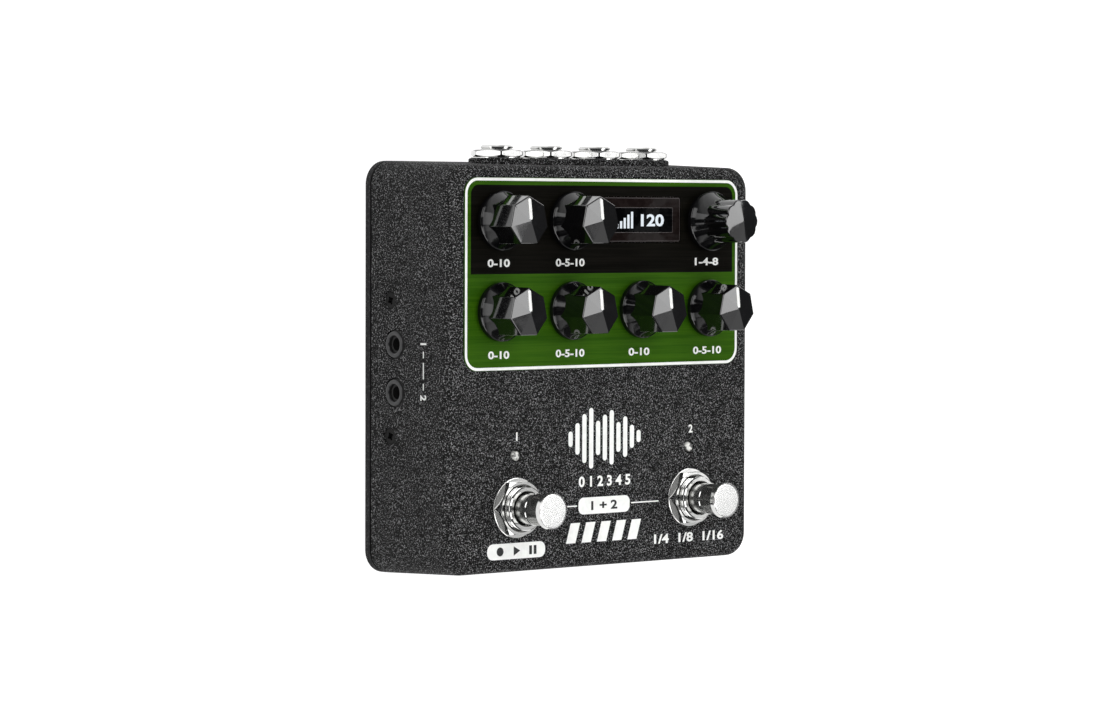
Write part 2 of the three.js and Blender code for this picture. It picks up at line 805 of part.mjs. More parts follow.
// Switch case, threaded bush and solder lugs in one piece
function switchBody() {
  const bushTopZ = caseHeight + switchBushHeight;
  const bush = turned([
    [0, undersideZ - overrun],
    [switchBushRadius, undersideZ - overrun],
    [switchBushRadius, bushTopZ - switchBushChamfer],
    [switchBushRadius - switchBushChamfer, bushTopZ],
    [0, bushTopZ],
  ]);
  const box = block(switchBodySide, switchBodySide, switchBodyDepth).translate(0, 0, switchBottomZ);
  const lugs = [-1, 0, 1].map((place) => (
    block(switchLugThickness, switchLugWidth, switchLugLength + overrun)
      .translate(place * switchLugPitch, 0, switchBottomZ - switchLugLength)
  ));
  const bore = rod(switchBoreRadius, bushTopZ + overrun - chamberFloorZ).translate(0, 0, chamberFloorZ);
  const chamber = rod(switchChamberRadius, chamberTopZ - chamberFloorZ).translate(0, 0, chamberFloorZ);
  return cut(join(box, bush, ...lugs), bore, chamber);
}

function switchNut() {
  const height = switchFlangeHeight + switchNutHeight;
  const flange = rod(switchFlangeRadius, switchFlangeHeight);
  const hexagon = hexNut(switchNutAcross, height, false);
  const bore = rod(switchBushRadius + fixedGap, height + 2 * overrun).translate(0, 0, -overrun);
  return cut(join(flange, hexagon), bore);
}

// Button, stem, the collar that keeps it in and the spigot that centres the spring
function switchPlunger() {
  return turned([
    [0, collarBottomZ - spigotLength],
    [spigotRadius, collarBottomZ - spigotLength],
    [spigotRadius, collarBottomZ],
    [collarRadius, collarBottomZ],
    [collarRadius, collarTopZ],
    [stemRadius, collarTopZ],
    [stemRadius, buttonTopZ - buttonThickness],
    [buttonRadius, buttonTopZ - buttonThickness],
    [buttonRadius, buttonTopZ - buttonChamfer],
    [buttonRadius - buttonChamfer, buttonTopZ],
    [0, buttonTopZ],
  ]);
}

function addFootswitches() {
  const springHeight = collarBottomZ - chamberFloorZ - 2 * fixedGap;
  for (const { label, sign } of sides) {
    const x = sign * switchX;
    add(`${label}_footswitch_body`, switchBody(), blackPlastic(), x, switchY);
    add(`${label}_footswitch_nut`, switchNut(), chrome(), x, switchY, caseHeight);
    const plunger = toGeometry(toSolid(switchPlunger()));
    add(`${label}_footswitch_plunger`, plunger, chrome(), x, switchY);
    const spring = coilSpring(springHeight);
    add(`${label}_footswitch_spring`, spring, springSteel(), x, switchY, chamberFloorZ + fixedGap);
  }
}

// Lamp with a domed tip that shows in the face
function addStatusLamps() {
  const tipZ = caseHeight + lampRise - boardTopZ;
  const profile = [
    [0, 0],
    [lampFlangeRadius, 0],
    [lampFlangeRadius, lampFlangeHeight],
    [lampRadius, lampFlangeHeight],
  ];
  const domeSteps = 4;
  for (let step = 0; step < domeSteps; step += 1) {
    const angle = step / domeSteps * Math.PI / 2;
    profile.push([lampRadius * Math.cos(angle), tipZ - lampRadius * (1 - Math.sin(angle))]);
  }
  profile.push([0, tipZ]);
  for (const { label, sign } of sides) {
    const lamp = toGeometry(toSolid(turned(profile, smallSteps)));
    add(`${label}_status_lamp`, lamp, clearLens(), sign * switchX, lampY, boardTopZ);
  }
}

// Jack made along Z with the mouth up, then laid down to look back
function jackBody() {
  const bodyFrontY = jackBodyRearY - jackBodyLength;
  const bodyHeight = 2 * (boardBottomZ - jackAxisZ);
  const tipY = jackSeatY + jackBushReach;
  const box = block(jackBodyWidth, bodyHeight, jackBodyLength).translate(0, 0, bodyFrontY);
  const bush = turned([
    [0, jackBodyRearY - overrun],
    [jackBushRadius, jackBodyRearY - overrun],
    [jackBushRadius, tipY - jackBushChamfer],
    [jackBushRadius - jackBushChamfer, tipY],
    [0, tipY],
  ]);
  const boreFootY = bodyFrontY + jackRearWall;
  const bore = rod(jackBoreRadius, tipY + overrun - boreFootY).translate(0, 0, boreFootY);
  return cut(join(box, bush), bore).rotateX(-Math.PI / 2);
}

function addRearJacks() {
  const names = ['output_jack_1', 'output_jack_2', 'input_jack_2', 'input_jack_1'];
  const nutY = jackSeatY + jackWasherThickness;
  const ringBore = (height) => (
    rod(jackBushRadius + fixedGap, height + 2 * overrun).translate(0, 0, -overrun)
  );
  names.forEach((name, i) => {
    const washer = cut(rod(jackWasherRadius, jackWasherThickness), ringBore(jackWasherThickness));
    const nut = cut(hexNut(jackNutAcross, jackNutHeight, true), ringBore(jackNutHeight));
    add(`${name}_body`, jackBody(), blackPlastic(), jackX(i), 0, jackAxisZ);
    add(`${name}_washer`, washer.rotateX(-Math.PI / 2), chrome(), jackX(i), jackSeatY, jackAxisZ);
    add(`${name}_nut`, nut.rotateX(-Math.PI / 2), chrome(), jackX(i), nutY, jackAxisZ);
  });
}

// Small socket made along Z with the mouth up, then laid down to look left
function sideSocket() {
  const insideX = -halfWidthAt(socketAxisZ + socketBodyHeight / 2) + wallThickness + fixedGap;
  const mouthX = sideWallX - socketNoseRise;
  const body = block(socketBodyHeight, socketBodyWidth, socketBodyLength);
  body.translate(0, 0, -insideX - socketBodyLength);
  const nose = turned([
    [0, -insideX - overrun],
    [socketNoseRadius, -insideX - overrun],
    [socketNoseRadius, -mouthX - socketNoseRise],
    [socketNoseRadius - socketNoseRise, -mouthX],
    [0, -mouthX],
  ]);
  const bore = rod(socketBoreRadius, socketBoreDepth + overrun, smallSteps);
  bore.translate(0, 0, -mouthX - socketBoreDepth);
  const mouth = rod(socketMouthRadius, socketMouthDepth + overrun, smallSteps);
  mouth.translate(0, 0, -mouthX - socketMouthDepth);
  return cut(join(body, nose), bore, mouth).rotateY(-Math.PI / 2);
}

// Board under the small sockets, with the two blocks that the side screws pull on
function sideSocketBoard() {
  const edgeX = -halfWidthAt(sideScrewZ + screwBlockHeight / 2) + wallThickness + fixedGap;
  const board = block(sideBoardWidth, sideBoardLength, sideBoardThickness);
  board.translate(edgeX + sideBoardWidth / 2, 0, sideBoardTopZ - sideBoardThickness);
  const blocks = [];
  const holes = [];
  for (const { sign } of ends) {
    const y = sign * sideScrewSpacing / 2;
    const foot = sideBoardThickness / 2;
    const height = sideScrewZ + screwBlockHeight / 2 - sideBoardTopZ + foot;
    const screwBlock = block(screwBlockLength, screwBlockWidth, height);
    blocks.push(screwBlock.translate(edgeX + screwBlockLength / 2, y, sideBoardTopZ - foot));
    const hole = rod(sideScrewRadius + fixedGap, screwBlockLength + 2 * overrun, smallSteps);
    holes.push(hole.rotateY(Math.PI / 2).translate(edgeX - overrun, y, sideScrewZ));
  }
  return cut(join(board, ...blocks), ...holes);
}

function addLeftWallPieces() {
  for (const { label, sign } of ends) {
    add(`side_socket_${label}`, sideSocket(), blackPlastic(), 0, sign * socketSpacing / 2, socketAxisZ);
    const screw = countersunkScrew(
      sideScrewHeadRadius, sideScrewHeadDepth, sideScrewRadius, sideScrewLength, sideRecessSpan);
    screw.rotateY(-Math.PI / 2);
    const screwY = sign * sideScrewSpacing / 2;
    add(`side_screw_${label}`, screw, blackSteel(), sideScrewX, screwY, sideScrewZ);
  }
  add('side_socket_board', sideSocketBoard(), circuitBoard());
}

// Power inlet made along Z with the mouth up, then laid down to look right
function powerInlet() {
  const insideX = halfWidthAt(boardBottomZ) - wallThickness - fixedGap;
  const mouthX = halfWidthAt(inletAxisZ) - inletNoseSink;
  const body = block(inletBodyHeight, inletBodyWidth, inletBodyLength);
  body.translate(0, 0, insideX - inletBodyLength);
  const nose = rod(inletNoseRadius, mouthX - insideX + overrun).translate(0, 0, insideX - overrun);
  const bore = rod(inletBoreRadius, inletBoreDepth + overrun).translate(0, 0, mouthX - inletBoreDepth);
  const pinHeight = inletBoreDepth - inletPinSink + overrun;
  const pin = rod(inletPinRadius, pinHeight, smallSteps).translate(0, 0, mouthX - inletBoreDepth - overrun);
  return join(cut(join(body, nose), bore), pin).rotateY(Math.PI / 2);
}

add('enclosure_shell', enclosureShell(), powderCoat());
addBasePlateAndScrews();
add('control_panel_plate', controlPanelPlate(), panelPrint(), 0, 0, panelSeatZ);
addDisplay();
add('main_circuit_board', mainCircuitBoard(), circuitBoard(), 0, 0, boardBottomZ);
addPotentiometers();
addSelector();
addFootswitches();
addStatusLamps();
addRearJacks();
addLeftWallPieces();
add('power_inlet', powerInlet(), blackPlastic(), 0, inletY, inletAxisZ);

export default pedal;
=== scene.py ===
import json
import logging
import math
from collections.abc import Callable, Iterable, Mapping, Sequence
from dataclasses import dataclass, field
from enum import Enum

import bpy
from mathutils import Matrix, Vector


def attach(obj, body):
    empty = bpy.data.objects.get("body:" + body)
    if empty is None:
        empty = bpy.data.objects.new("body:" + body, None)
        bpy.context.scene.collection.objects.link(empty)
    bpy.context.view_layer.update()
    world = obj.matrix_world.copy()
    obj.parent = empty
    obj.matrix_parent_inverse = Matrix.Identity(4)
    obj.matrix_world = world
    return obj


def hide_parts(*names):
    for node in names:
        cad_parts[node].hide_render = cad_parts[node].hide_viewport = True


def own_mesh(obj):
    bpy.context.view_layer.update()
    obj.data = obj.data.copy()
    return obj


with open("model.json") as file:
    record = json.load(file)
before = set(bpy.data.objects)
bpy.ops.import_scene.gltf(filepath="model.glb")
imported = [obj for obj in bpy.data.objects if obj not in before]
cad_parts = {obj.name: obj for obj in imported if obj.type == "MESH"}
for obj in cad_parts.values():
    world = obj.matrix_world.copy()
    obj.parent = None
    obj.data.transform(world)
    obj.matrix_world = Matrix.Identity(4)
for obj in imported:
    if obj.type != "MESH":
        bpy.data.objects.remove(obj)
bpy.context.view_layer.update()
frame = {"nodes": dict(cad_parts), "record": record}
log = logging.getLogger("pedal")

MM = 0.001
QUARTER = math.pi / 2
CHASSIS = "chassis"
Colour = tuple[float, float, float]
Point2 = tuple[float, float]
Point3 = tuple[float, float, float]
Outline = Sequence[Point2]
Settings = Mapping[str | int, object]
EMPTY: Settings = {}


def linear(red: int, green: int, blue: int) -> Colour:
    """Scene-linear values of a colour that is read off a screen as 0 to 255."""
    shares = (red / 255, green / 255, blue / 255)
    return tuple(s / 12.92 if s <= 0.04045 else ((s + 0.055) / 1.055) ** 2.4 for s in shares)


def scaled(colour: Colour, factor: float, lift: float = 0.0) -> Colour:
    """A colour multiplied by a factor and lifted by a small amount."""
    return tuple(factor * share + lift for share in colour)


class Shade:
    """One output of a material's nodes, with its sums written as Python."""

    def __init__(self, nodes: "Nodes", socket: bpy.types.NodeSocket) -> None:
        """Keeps the output socket and the nodes that it belongs to."""
        self.nodes = nodes
        self.socket = socket

    def _sum(self, operation: str, first: "Shade | float", second: "Shade | float") -> "Shade":
        """The result of one Math node on two values."""
        return self.nodes.shade("ShaderNodeMath", {"operation": operation}, {0: first, 1: second})

    def __add__(self, other: "Shade | float") -> "Shade":
        """Adds another value."""
        return self._sum("ADD", self, other)

    def __radd__(self, other: float) -> "Shade":
        """Adds this value to a number."""
        return self._sum("ADD", other, self)

    def __sub__(self, other: "Shade | float") -> "Shade":
        """Takes another value away."""
        return self._sum("SUBTRACT", self, other)

    def __rsub__(self, other: float) -> "Shade":
        """Takes this value from a number."""
        return self._sum("SUBTRACT", other, self)

    def __mul__(self, other: "Shade | float") -> "Shade":
        """Multiplies by another value."""
        return self._sum("MULTIPLY", self, other)

    def __rmul__(self, other: float) -> "Shade":
        """Multiplies a number by this value."""
        return self._sum("MULTIPLY", other, self)

    def most(self, other: "Shade | float") -> "Shade":
        """The greater of this value and another."""
        return self._sum("MAXIMUM", self, other)

    def band(self, low: float, high: float) -> "Shade":
        """Rises smoothly from 0 at the low value to 1 at the high one."""
        inputs = {"Value": self, "From Min": low, "From Max": high}
        return self.nodes.shade("ShaderNodeMapRange", {"interpolation_type": "SMOOTHSTEP"}, inputs)


class Nodes:
    """The nodes of one material or of the world."""

    def __init__(self, tree: bpy.types.NodeTree) -> None:
        """Empties the tree that it fills."""
        self.tree = tree
        tree.nodes.clear()

    def add(self, kind: str, settings: Settings = EMPTY, inputs: Settings = EMPTY) -> bpy.types.Node:
        """Adds a node, with its settings first and then the values or links of its sockets.

        Args:
            kind: The node's type.
            settings: Its properties.
            inputs: Values, colours or Shade links by socket name or number.

        Returns:
            The node.
        """
        node = self.tree.nodes.new(kind)
        for name, value in settings.items():
            setattr(node, name, value)
        for name, value in inputs.items():
            socket = node.inputs[name]
            if isinstance(value, Shade):
                self.tree.links.new(value.socket, socket)
            elif isinstance(value, tuple) and socket.type == "RGBA":
                socket.default_value = (*value, 1.0)
            else:
                socket.default_value = value
        return node

    def shade(self, kind: str, settings: Settings, inputs: Settings, output: int | str = 0) -> Shade:
        """Adds a node and gives one of its outputs."""
        return Shade(self, self.add(kind, settings, inputs).outputs[output])

    def coords(self, stretch: Point3) -> Shade:
        """The place on the object in metres, stretched along its axes."""
        place = self.shade("ShaderNodeTexCoord", {}, {}, "Object")
        return self.shade("ShaderNodeVectorMath", {"operation": "MULTIPLY"}, {0: place, 1: stretch})

    def noise(
        self, grain: float, detail: float = 2.0, stretch: Point3 = (1.0, 1.0, 1.0), rough: float = 0.5
    ) -> Shade:
        """Cloudy noise from 0 to 1, with patches of grain millimetres and rougher or smoother layers."""
        layers = {"Scale": 1 / (grain * MM), "Detail": detail, "Roughness": rough}
        return self.shade("ShaderNodeTexNoise", {}, {"Vector": self.coords(stretch), **layers})

    def cells(self, size: float, distance: str, scatter: float, stretch: Point3 = (1.0, 1.0, 1.0)) -> Shade:
        """Distance to the middle of cells of that many millimetres, which scatter moves out of line."""
        inputs = {"Vector": self.coords(stretch), "Scale": 1 / (size * MM), "Randomness": scatter}
        return self.shade("ShaderNodeTexVoronoi", {"distance": distance}, inputs)

    def mixed(self, share: Shade, low: "Colour | Shade", high: "Colour | Shade") -> Shade:
        """Mixes two colours, all low at a share of 0 and all high at 1."""
        return self.shade("ShaderNodeMix", {"data_type": "RGBA"}, {0: share, 6: low, 7: high}, 2)

    def bumped(self, height: Shade, depth: float, strength: float = 1.0) -> Shade:
        """The normal tilted by a height, where a height of 1 is depth millimetres."""
        inputs = {"Height": height, "Distance": depth * MM, "Strength": strength}
        return self.shade("ShaderNodeBump", {}, inputs)

    def rays(self, *kinds: str) -> Shade:
        """Is 1 for rays of the named kinds.

        Args:
            kinds: Camera, Glossy or Transmission.

        Returns:
            The value, 0 for all other rays.
        """
        path = self.add("ShaderNodeLightPath")
        found, *others = [Shade(self, path.outputs[f"Is {kind} Ray"]) for kind in kinds]
        for other in others:
            found = found.most(other)
        return found

    def surface(self, inputs: Settings) -> None:
        """Adds the surface shader with these values, and its output."""
        shader = self.shade("ShaderNodeBsdfPrincipled", {}, inputs)
        self.add("ShaderNodeOutputMaterial", {}, {"Surface": shader})


@dataclass(frozen=True)
class Finish:
    """How one kind of surface looks."""

    name: str
    colour: Colour

    def material(self) -> bpy.types.Material:
        """The Blender material of this finish, made once.

        Returns:
            The material.
        """
        found = bpy.data.materials.get(self.name)
        if found is None:
            found = bpy.data.materials.new(self.name)
            found.use_nodes = True
            self.dress(Nodes(found.node_tree))
            found.diffuse_color = (*self.colour, 1.0)
        return found

    def dress(self, nodes: Nodes) -> None:
        """Fills the material's nodes."""
        raise NotImplementedError


@dataclass(frozen=True)
class PowderCoat(Finish):
    """Fine-textured powder coat with pale and dark grains."""

    pale: Colour
    grain: float = 0.4
    depth: float = 0.182

    def dress(self, nodes: Nodes) -> None:
        """Fills the material's nodes with two sizes of grain and their bump.

        Args:
            nodes: The material's node maker.
        """
        coarse = nodes.noise(self.grain, 1.0)
        fine = nodes.noise(self.grain * 0.45)
        worn = nodes.noise(9.0).band(0.3, 0.7)
        grains = (coarse * 0.5 + fine * 0.5).band(0.517, 0.662)
        tone = nodes.mixed(grains, self.colour, self.pale)
        nodes.surface({
            "Base Color": nodes.mixed(worn * 0.25, tone, self.colour),
            "Roughness": 0.72 - grains * 0.22,
            "Specular IOR Level": 0.12,
            "Normal": nodes.bumped(coarse * 0.65 + fine * 0.35, self.depth, 0.8),
        })


@dataclass(frozen=True)
class BrushedPrint(Finish):
    """Printed colour on brushed sheet, with long fine lines from side to side."""

    dark: Colour
    roughness: float = 0.42
    metallic: float = 0.05
    sheen: float = 0.06

    def dress(self, nodes: Nodes) -> None:
        """Fills the material's nodes with lines that run along X.

        Args:
            nodes: The material's node maker.
        """
        lines = nodes.noise(0.5, 3.0, (0.02, 1.0, 1.0), 0.7)
        bands = nodes.noise(2.2, 2.0, (0.03, 1.0, 1.0))
        share = (lines * 0.65 + bands * 0.35).band(0.33, 0.68)
        nodes.surface({
            "Base Color": nodes.mixed(share, self.dark, self.colour),
            "Roughness": self.roughness + (1 - share) * 0.18,
            "Metallic": self.metallic,
            "Specular IOR Level": self.sheen,
            "Normal": nodes.bumped(lines, 0.012, 0.6),
        })


@dataclass(frozen=True)
class Ink(Finish):
    """Screen-printed ink with a faint uneven gloss."""

    roughness: float = 0.42

    def dress(self, nodes: Nodes) -> None:
        """Fills the material's nodes with a soft cloud of wear.

        Args:
            nodes: The material's node maker.
        """
        cloud = nodes.noise(1.6, 3.0)
        nodes.surface({
            "Base Color": nodes.mixed(cloud.band(0.35, 0.65), scaled(self.colour, 0.93), self.colour),
            "Roughness": self.roughness + cloud * 0.16,
            "Normal": nodes.bumped(nodes.noise(0.3), 0.006, 0.5),
        })


@dataclass(frozen=True)
class Plastic(Finish):
    """Moulded plastic, from polished to matt."""

    roughness: float
    grain: float
    depth: float
    coat: float = 0.0
    density: float = 1.5

    def dress(self, nodes: Nodes) -> None:
        """Fills the material's nodes with a fine skin and faint handling marks.

        Args:
            nodes: The material's node maker.
        """
        marks = nodes.noise(5.0, 4.0, rough=0.6)
        lighter = scaled(self.colour, 1.5, 0.001)
        nodes.surface({
            "Base Color": nodes.mixed(marks.band(0.4, 0.75), self.colour, lighter),
            "Roughness": self.roughness + marks.band(0.45, 0.8) * 0.06,
            "IOR": self.density,
            "Coat Weight": self.coat,
            "Coat Roughness": 0.04,
            "Normal": nodes.bumped(nodes.noise(self.grain), self.depth),
        })


@dataclass(frozen=True)
class Metal(Finish):
    """Plated, turned or drawn metal."""

    roughness: float
    lines: float = 0.0
    tarnish: float = 0.8

    def dress(self, nodes: Nodes) -> None:
        """Fills the material's nodes with smudges and, where asked, tool lines round Z.

        Args:
            nodes: The material's node maker.
        """
        smudge = nodes.noise(2.4, 4.0, rough=0.6).band(0.35, 0.75)
        tool = nodes.noise(0.18, 2.0, (0.15, 0.15, 1.0))
        nodes.surface({
            "Base Color": nodes.mixed(smudge * 0.5, self.colour, scaled(self.colour, self.tarnish)),
            "Metallic": 1.0,
            "Roughness": self.roughness + smudge * 0.07 + tool * self.lines,
            "Normal": nodes.bumped(tool, 0.003, self.lines),
        })


@dataclass(frozen=True)
class BlackOxide(Finish):
    """Blackened steel."""

    roughness: float = 0.2

    def dress(self, nodes: Nodes) -> None:
        """Fills the material's nodes with a cloudy, slightly rough black.

        Args:
            nodes: The material's node maker.
        """
        cloud = nodes.noise(0.9, 3.0)
        nodes.surface({
            "Base Color": nodes.mixed(cloud.band(0.4, 0.7), self.colour, scaled(self.colour, 2.2)),
            "Specular IOR Level": 0.1,
            "Roughness": self.roughness + cloud * 0.2,
            "Normal": nodes.bumped(nodes.noise(0.35), 0.02, 0.5),
        })


@dataclass(frozen=True)
class Lens(Finish):
    """Polished window or lamp, smoked or water-clear."""

    roughness: float
    coat: float = 0.0
    density: float = 1.36
    glint: float = 1.25
    patch: float = 3.5

    def dress(self, nodes: Nodes) -> None:
        """Fills the material's nodes with a polished skin, a faint haze and, on the lamp, painted glints.

        Args:
            nodes: The material's node maker.
        """
        # Lighter patches: a faint haze on the window; lifted many times on the lamp, they are painted
        # highlights in the base colour.
        haze_and_glints = nodes.noise(self.patch, 3.0).band(0.43, 0.58)
        nodes.surface({
            "Base Color": nodes.mixed(haze_and_glints, self.colour, scaled(self.colour, self.glint, 0.002)),
            "Roughness": self.roughness + haze_and_glints * 0.003,
            "IOR": self.density,
            "Coat Weight": self.coat,
            "Coat Roughness": 0.02,
            "Normal": nodes.bumped(haze_and_glints, 0.002, 0.3),
        })


@dataclass(frozen=True)
class LitPixels(Finish):
    """Lit cells of the small display."""

    strength: float = 0.9
    cell: float = 0.17

    def dress(self, nodes: Nodes) -> None:
        """Fills the material's nodes with a faint grid between the lit cells.

        Args:
            nodes: The material's node maker.
        """
        grid = nodes.cells(self.cell, "CHEBYCHEV", 0.0)
        nodes.surface({
            "Base Color": (0.02, 0.02, 0.02),
            "Roughness": 0.3,
            "Emission Color": nodes.mixed(grid.band(0.40, 0.5), self.colour, scaled(self.colour, 0.72)),
            "Emission Strength": self.strength,
        })


@dataclass(frozen=True)
class SolderMask(Finish):
    """Circuit board: solder mask over copper tracks."""

    def dress(self, nodes: Nodes) -> None:
        """Fills the material's nodes with square-edged tracks and pads.

        Args:
            nodes: The material's node maker.
        """
        tracks = nodes.cells(1.7, "MANHATTAN", 0.55, (1.0, 0.45, 1.0))
        raised = tracks.band(0.30, 0.36) * (1 - tracks.band(0.5, 0.56))
        nodes.surface({
            "Base Color": nodes.mixed(raised, self.colour, scaled(self.colour, 1.9, 0.004)),
            "Roughness": 0.32 + raised * 0.12,
            "Normal": nodes.bumped(raised, 0.03, 0.7),
        })


class Look(Enum):
    """Every finish on the pedal."""

    COAT = PowderCoat("charcoal_powder_coat", linear(5, 5, 5), linear(166, 166, 167))
    PLATE = PowderCoat("plate_paint", linear(38, 38, 39), linear(84, 84, 85), 0.6, 0.13)
    GREEN = BrushedPrint("green_brushed_print", linear(53, 93, 6), linear(37, 75, 2))
    DARK = BrushedPrint("black_brushed_print", linear(17, 15, 11), linear(5, 5, 3), 0.45, 0.0, 0.03)
    WHITE = Ink("white_ink", linear(248, 249, 246))
    BLACK_INK = Ink("black_ink", linear(22, 22, 22), 0.5)
    GLOSS = Plastic("polished_black_plastic", (0.0028, 0.0028, 0.0032), 0.085, 0.5, 0.0015, 0.75)
    SKIRT = Plastic("polished_black_skirt", (0.0028, 0.0028, 0.0032), 0.09, 0.5, 0.0015, 0.15, 1.4)
    MATT = Plastic("matt_black_plastic", (0.010, 0.010, 0.011), 0.42, 0.3, 0.012)
    LIP = Plastic("grey_socket_plastic", (0.012, 0.012, 0.013), 0.3, 0.3, 0.006)
    # Near-black painted shade for the seam's slot, the plate's top ledge and the insides of bores and
    # sockets.
    PAINTED_SHADE = Plastic("painted_recess_shade", (0.002, 0.002, 0.002), 0.6, 0.3, 0.004)
    CHROME = Metal("bright_chrome", (0.64, 0.64, 0.63), 0.07)
    # Dark metal on the jack nuts' turned-down faces stands in for the dark reflections there: painted
    # reflection.
    PAINTED_DARK_EDGE = Metal("nut_edges_painted_dark_reflection", (0.07, 0.07, 0.07), 0.2)
    # The satin top is a real finish; its base colour, raised well above the chrome's, is a painted highlight.
    SATIN_PAINTED_BRIGHT = Metal("satin_button_top_painted_bright", (0.88, 0.88, 0.87), 0.2, 0.0, 0.98)
    STEM = Metal("dark_turned_stem", (0.42, 0.42, 0.41), 0.16, 0.12)
    STEEL = Metal("turned_steel", (0.55, 0.55, 0.54), 0.24, 0.12)
    WIRE = Metal("spring_wire", (0.48, 0.48, 0.49), 0.3, 0.1)
    SCREW = BlackOxide("black_oxide_steel", (0.0035, 0.0035, 0.0035))
    SMOKE = Lens("smoked_window", linear(22, 16, 15), 0.003, 0.0, 1.17)
    SCREEN = Lens("unlit_display", linear(4, 4, 5), 0.003, 0.0, 1.12)
    # Lines lighter than the smoked window, round the screen and inside the window's edge: painted edge
    # highlights.
    EDGE_HIGHLIGHT_LINE = Ink("display_painted_highlight_line", linear(56, 50, 50), 0.3)
    # The glint factor of 9.5 paints near-white highlight patches into the lamp's base colour.
    LAMP = Lens("clear_lamp_painted_glints", linear(84, 84, 82), 0.08, 1.0, 1.5, 9.5, 1.5)
    PIXELS = LitPixels("lit_display_pixels", (0.86, 0.93, 1.0))
    BOARD = SolderMask("green_solder_mask", (0.008, 0.075, 0.03))


Looks = Look | Callable[[int], Look]


class Carve(Enum):
    """How one solid changes another."""

    JOIN = "UNION"
    CUT = "DIFFERENCE"
    COMMON = "INTERSECT"


def arc(centre: Point2, reach: Point2, turn: float, steps: int, first: int = 0) -> list[Point2]:
    """Points on an arc or ellipse that starts at its rightmost point and turns anticlockwise.

    Args:
        centre: The arc's centre.
        reach: Its radius along the first axis and along the second.
        turn: How far it turns in radians.
        steps: How many stretches it has.
        first: The number of the first point that is kept.

    Returns:
        The points.
    """
    turns = [turn * step / steps for step in range(first, steps + 1)]
    return [(centre[0] + reach[0] * math.cos(t), centre[1] + reach[1] * math.sin(t)) for t in turns]


def circle(radius: float, steps: int, centre: Point2 = (0, 0)) -> list[Point2]:
    """Points round a circle, anticlockwise."""
    return arc(centre, (radius, radius), math.tau, steps)[:-1]


def regular(sides: int, radius: float, round_off: float, first: float, steps: int) -> list[Point2]:
    """Points round a regular polygon with rounded corners.

    Args:
        sides: How many sides it has.
        radius: Radius through the sharp corners.
        round_off: Radius of the rounding.
        first: Angle of the first corner in degrees.
        steps: Stretches in each rounded corner.

    Returns:
        The points, anticlockwise.
    """
    half = math.pi / sides
    reach = radius - round_off / math.cos(half)
    points = []
    for corner in range(sides):
        middle = math.radians(first) + 2 * half * corner
        for step in range(steps + 1):
            angle = middle + half * (2 * step / steps - 1)
            points.append((
                reach * math.cos(middle) + round_off * math.cos(angle),
                reach * math.sin(middle) + round_off * math.sin(angle),
            ))
    return points


def rounded(width: float, length: float, radius: float, steps: int, centre: Point2 = (0, 0)) -> list[Point2]:
    """Points round a rectangle with round corners.

    Args:
        width: Size along X.
        length: Size along Y.
        radius: Radius of the corners.
        steps: Stretches in each corner.
        centre: The rectangle's centre.

    Returns:
        The points, anticlockwise.
    """
    points = []
    for quarter, (side_x, side_y) in enumerate(((1, 1), (-1, 1), (-1, -1), (1, -1))):
        for step in range(steps + 1):
            angle = (quarter + step / steps) * QUARTER
            points.append((
                centre[0] + side_x * (width / 2 - radius) + radius * math.cos(angle),
                centre[1] + side_y * (length / 2 - radius) + radius * math.sin(angle),
            ))
    return points


def grown(size: Point2, corner: float, by: float, steps: int = 12, centre: Point2 = (0, 0)) -> list[Point2]:
    """A rectangle with round corners whose outline is moved out by a distance, or in by a negative one."""
    return rounded(size[0] + 2 * by, size[1] + 2 * by, corner + by, steps, centre)


def oblong(left: float, right: float, front: float, rear: float) -> list[Point2]:
    """The corners of a sharp rectangle, anticlockwise."""
    return [(left, front), (right, front), (right, rear), (left, rear)]


def threads(radius: float, low: float, high: float, cut: tuple[float, float, float, float]) -> list[Point2]:
    """The outside of a thread drawn as plain grooves, going up.

    Args:
        radius: Radius over the crests.
        low: Height of the first groove.
        high: Height that the last groove stays under.
        cut: Depth of a groove, rise to its crest, width of the crest and distance to the next groove.

    Returns:
        Radius and height of each point.
    """
    depth, rise, crest, pitch = cut
    points = []
    z = low
    while z < high:
        points += [(radius - depth, z), (radius, z + rise)]
        if crest:
            points.append((radius, z + rise + crest))
        z += pitch
    return points


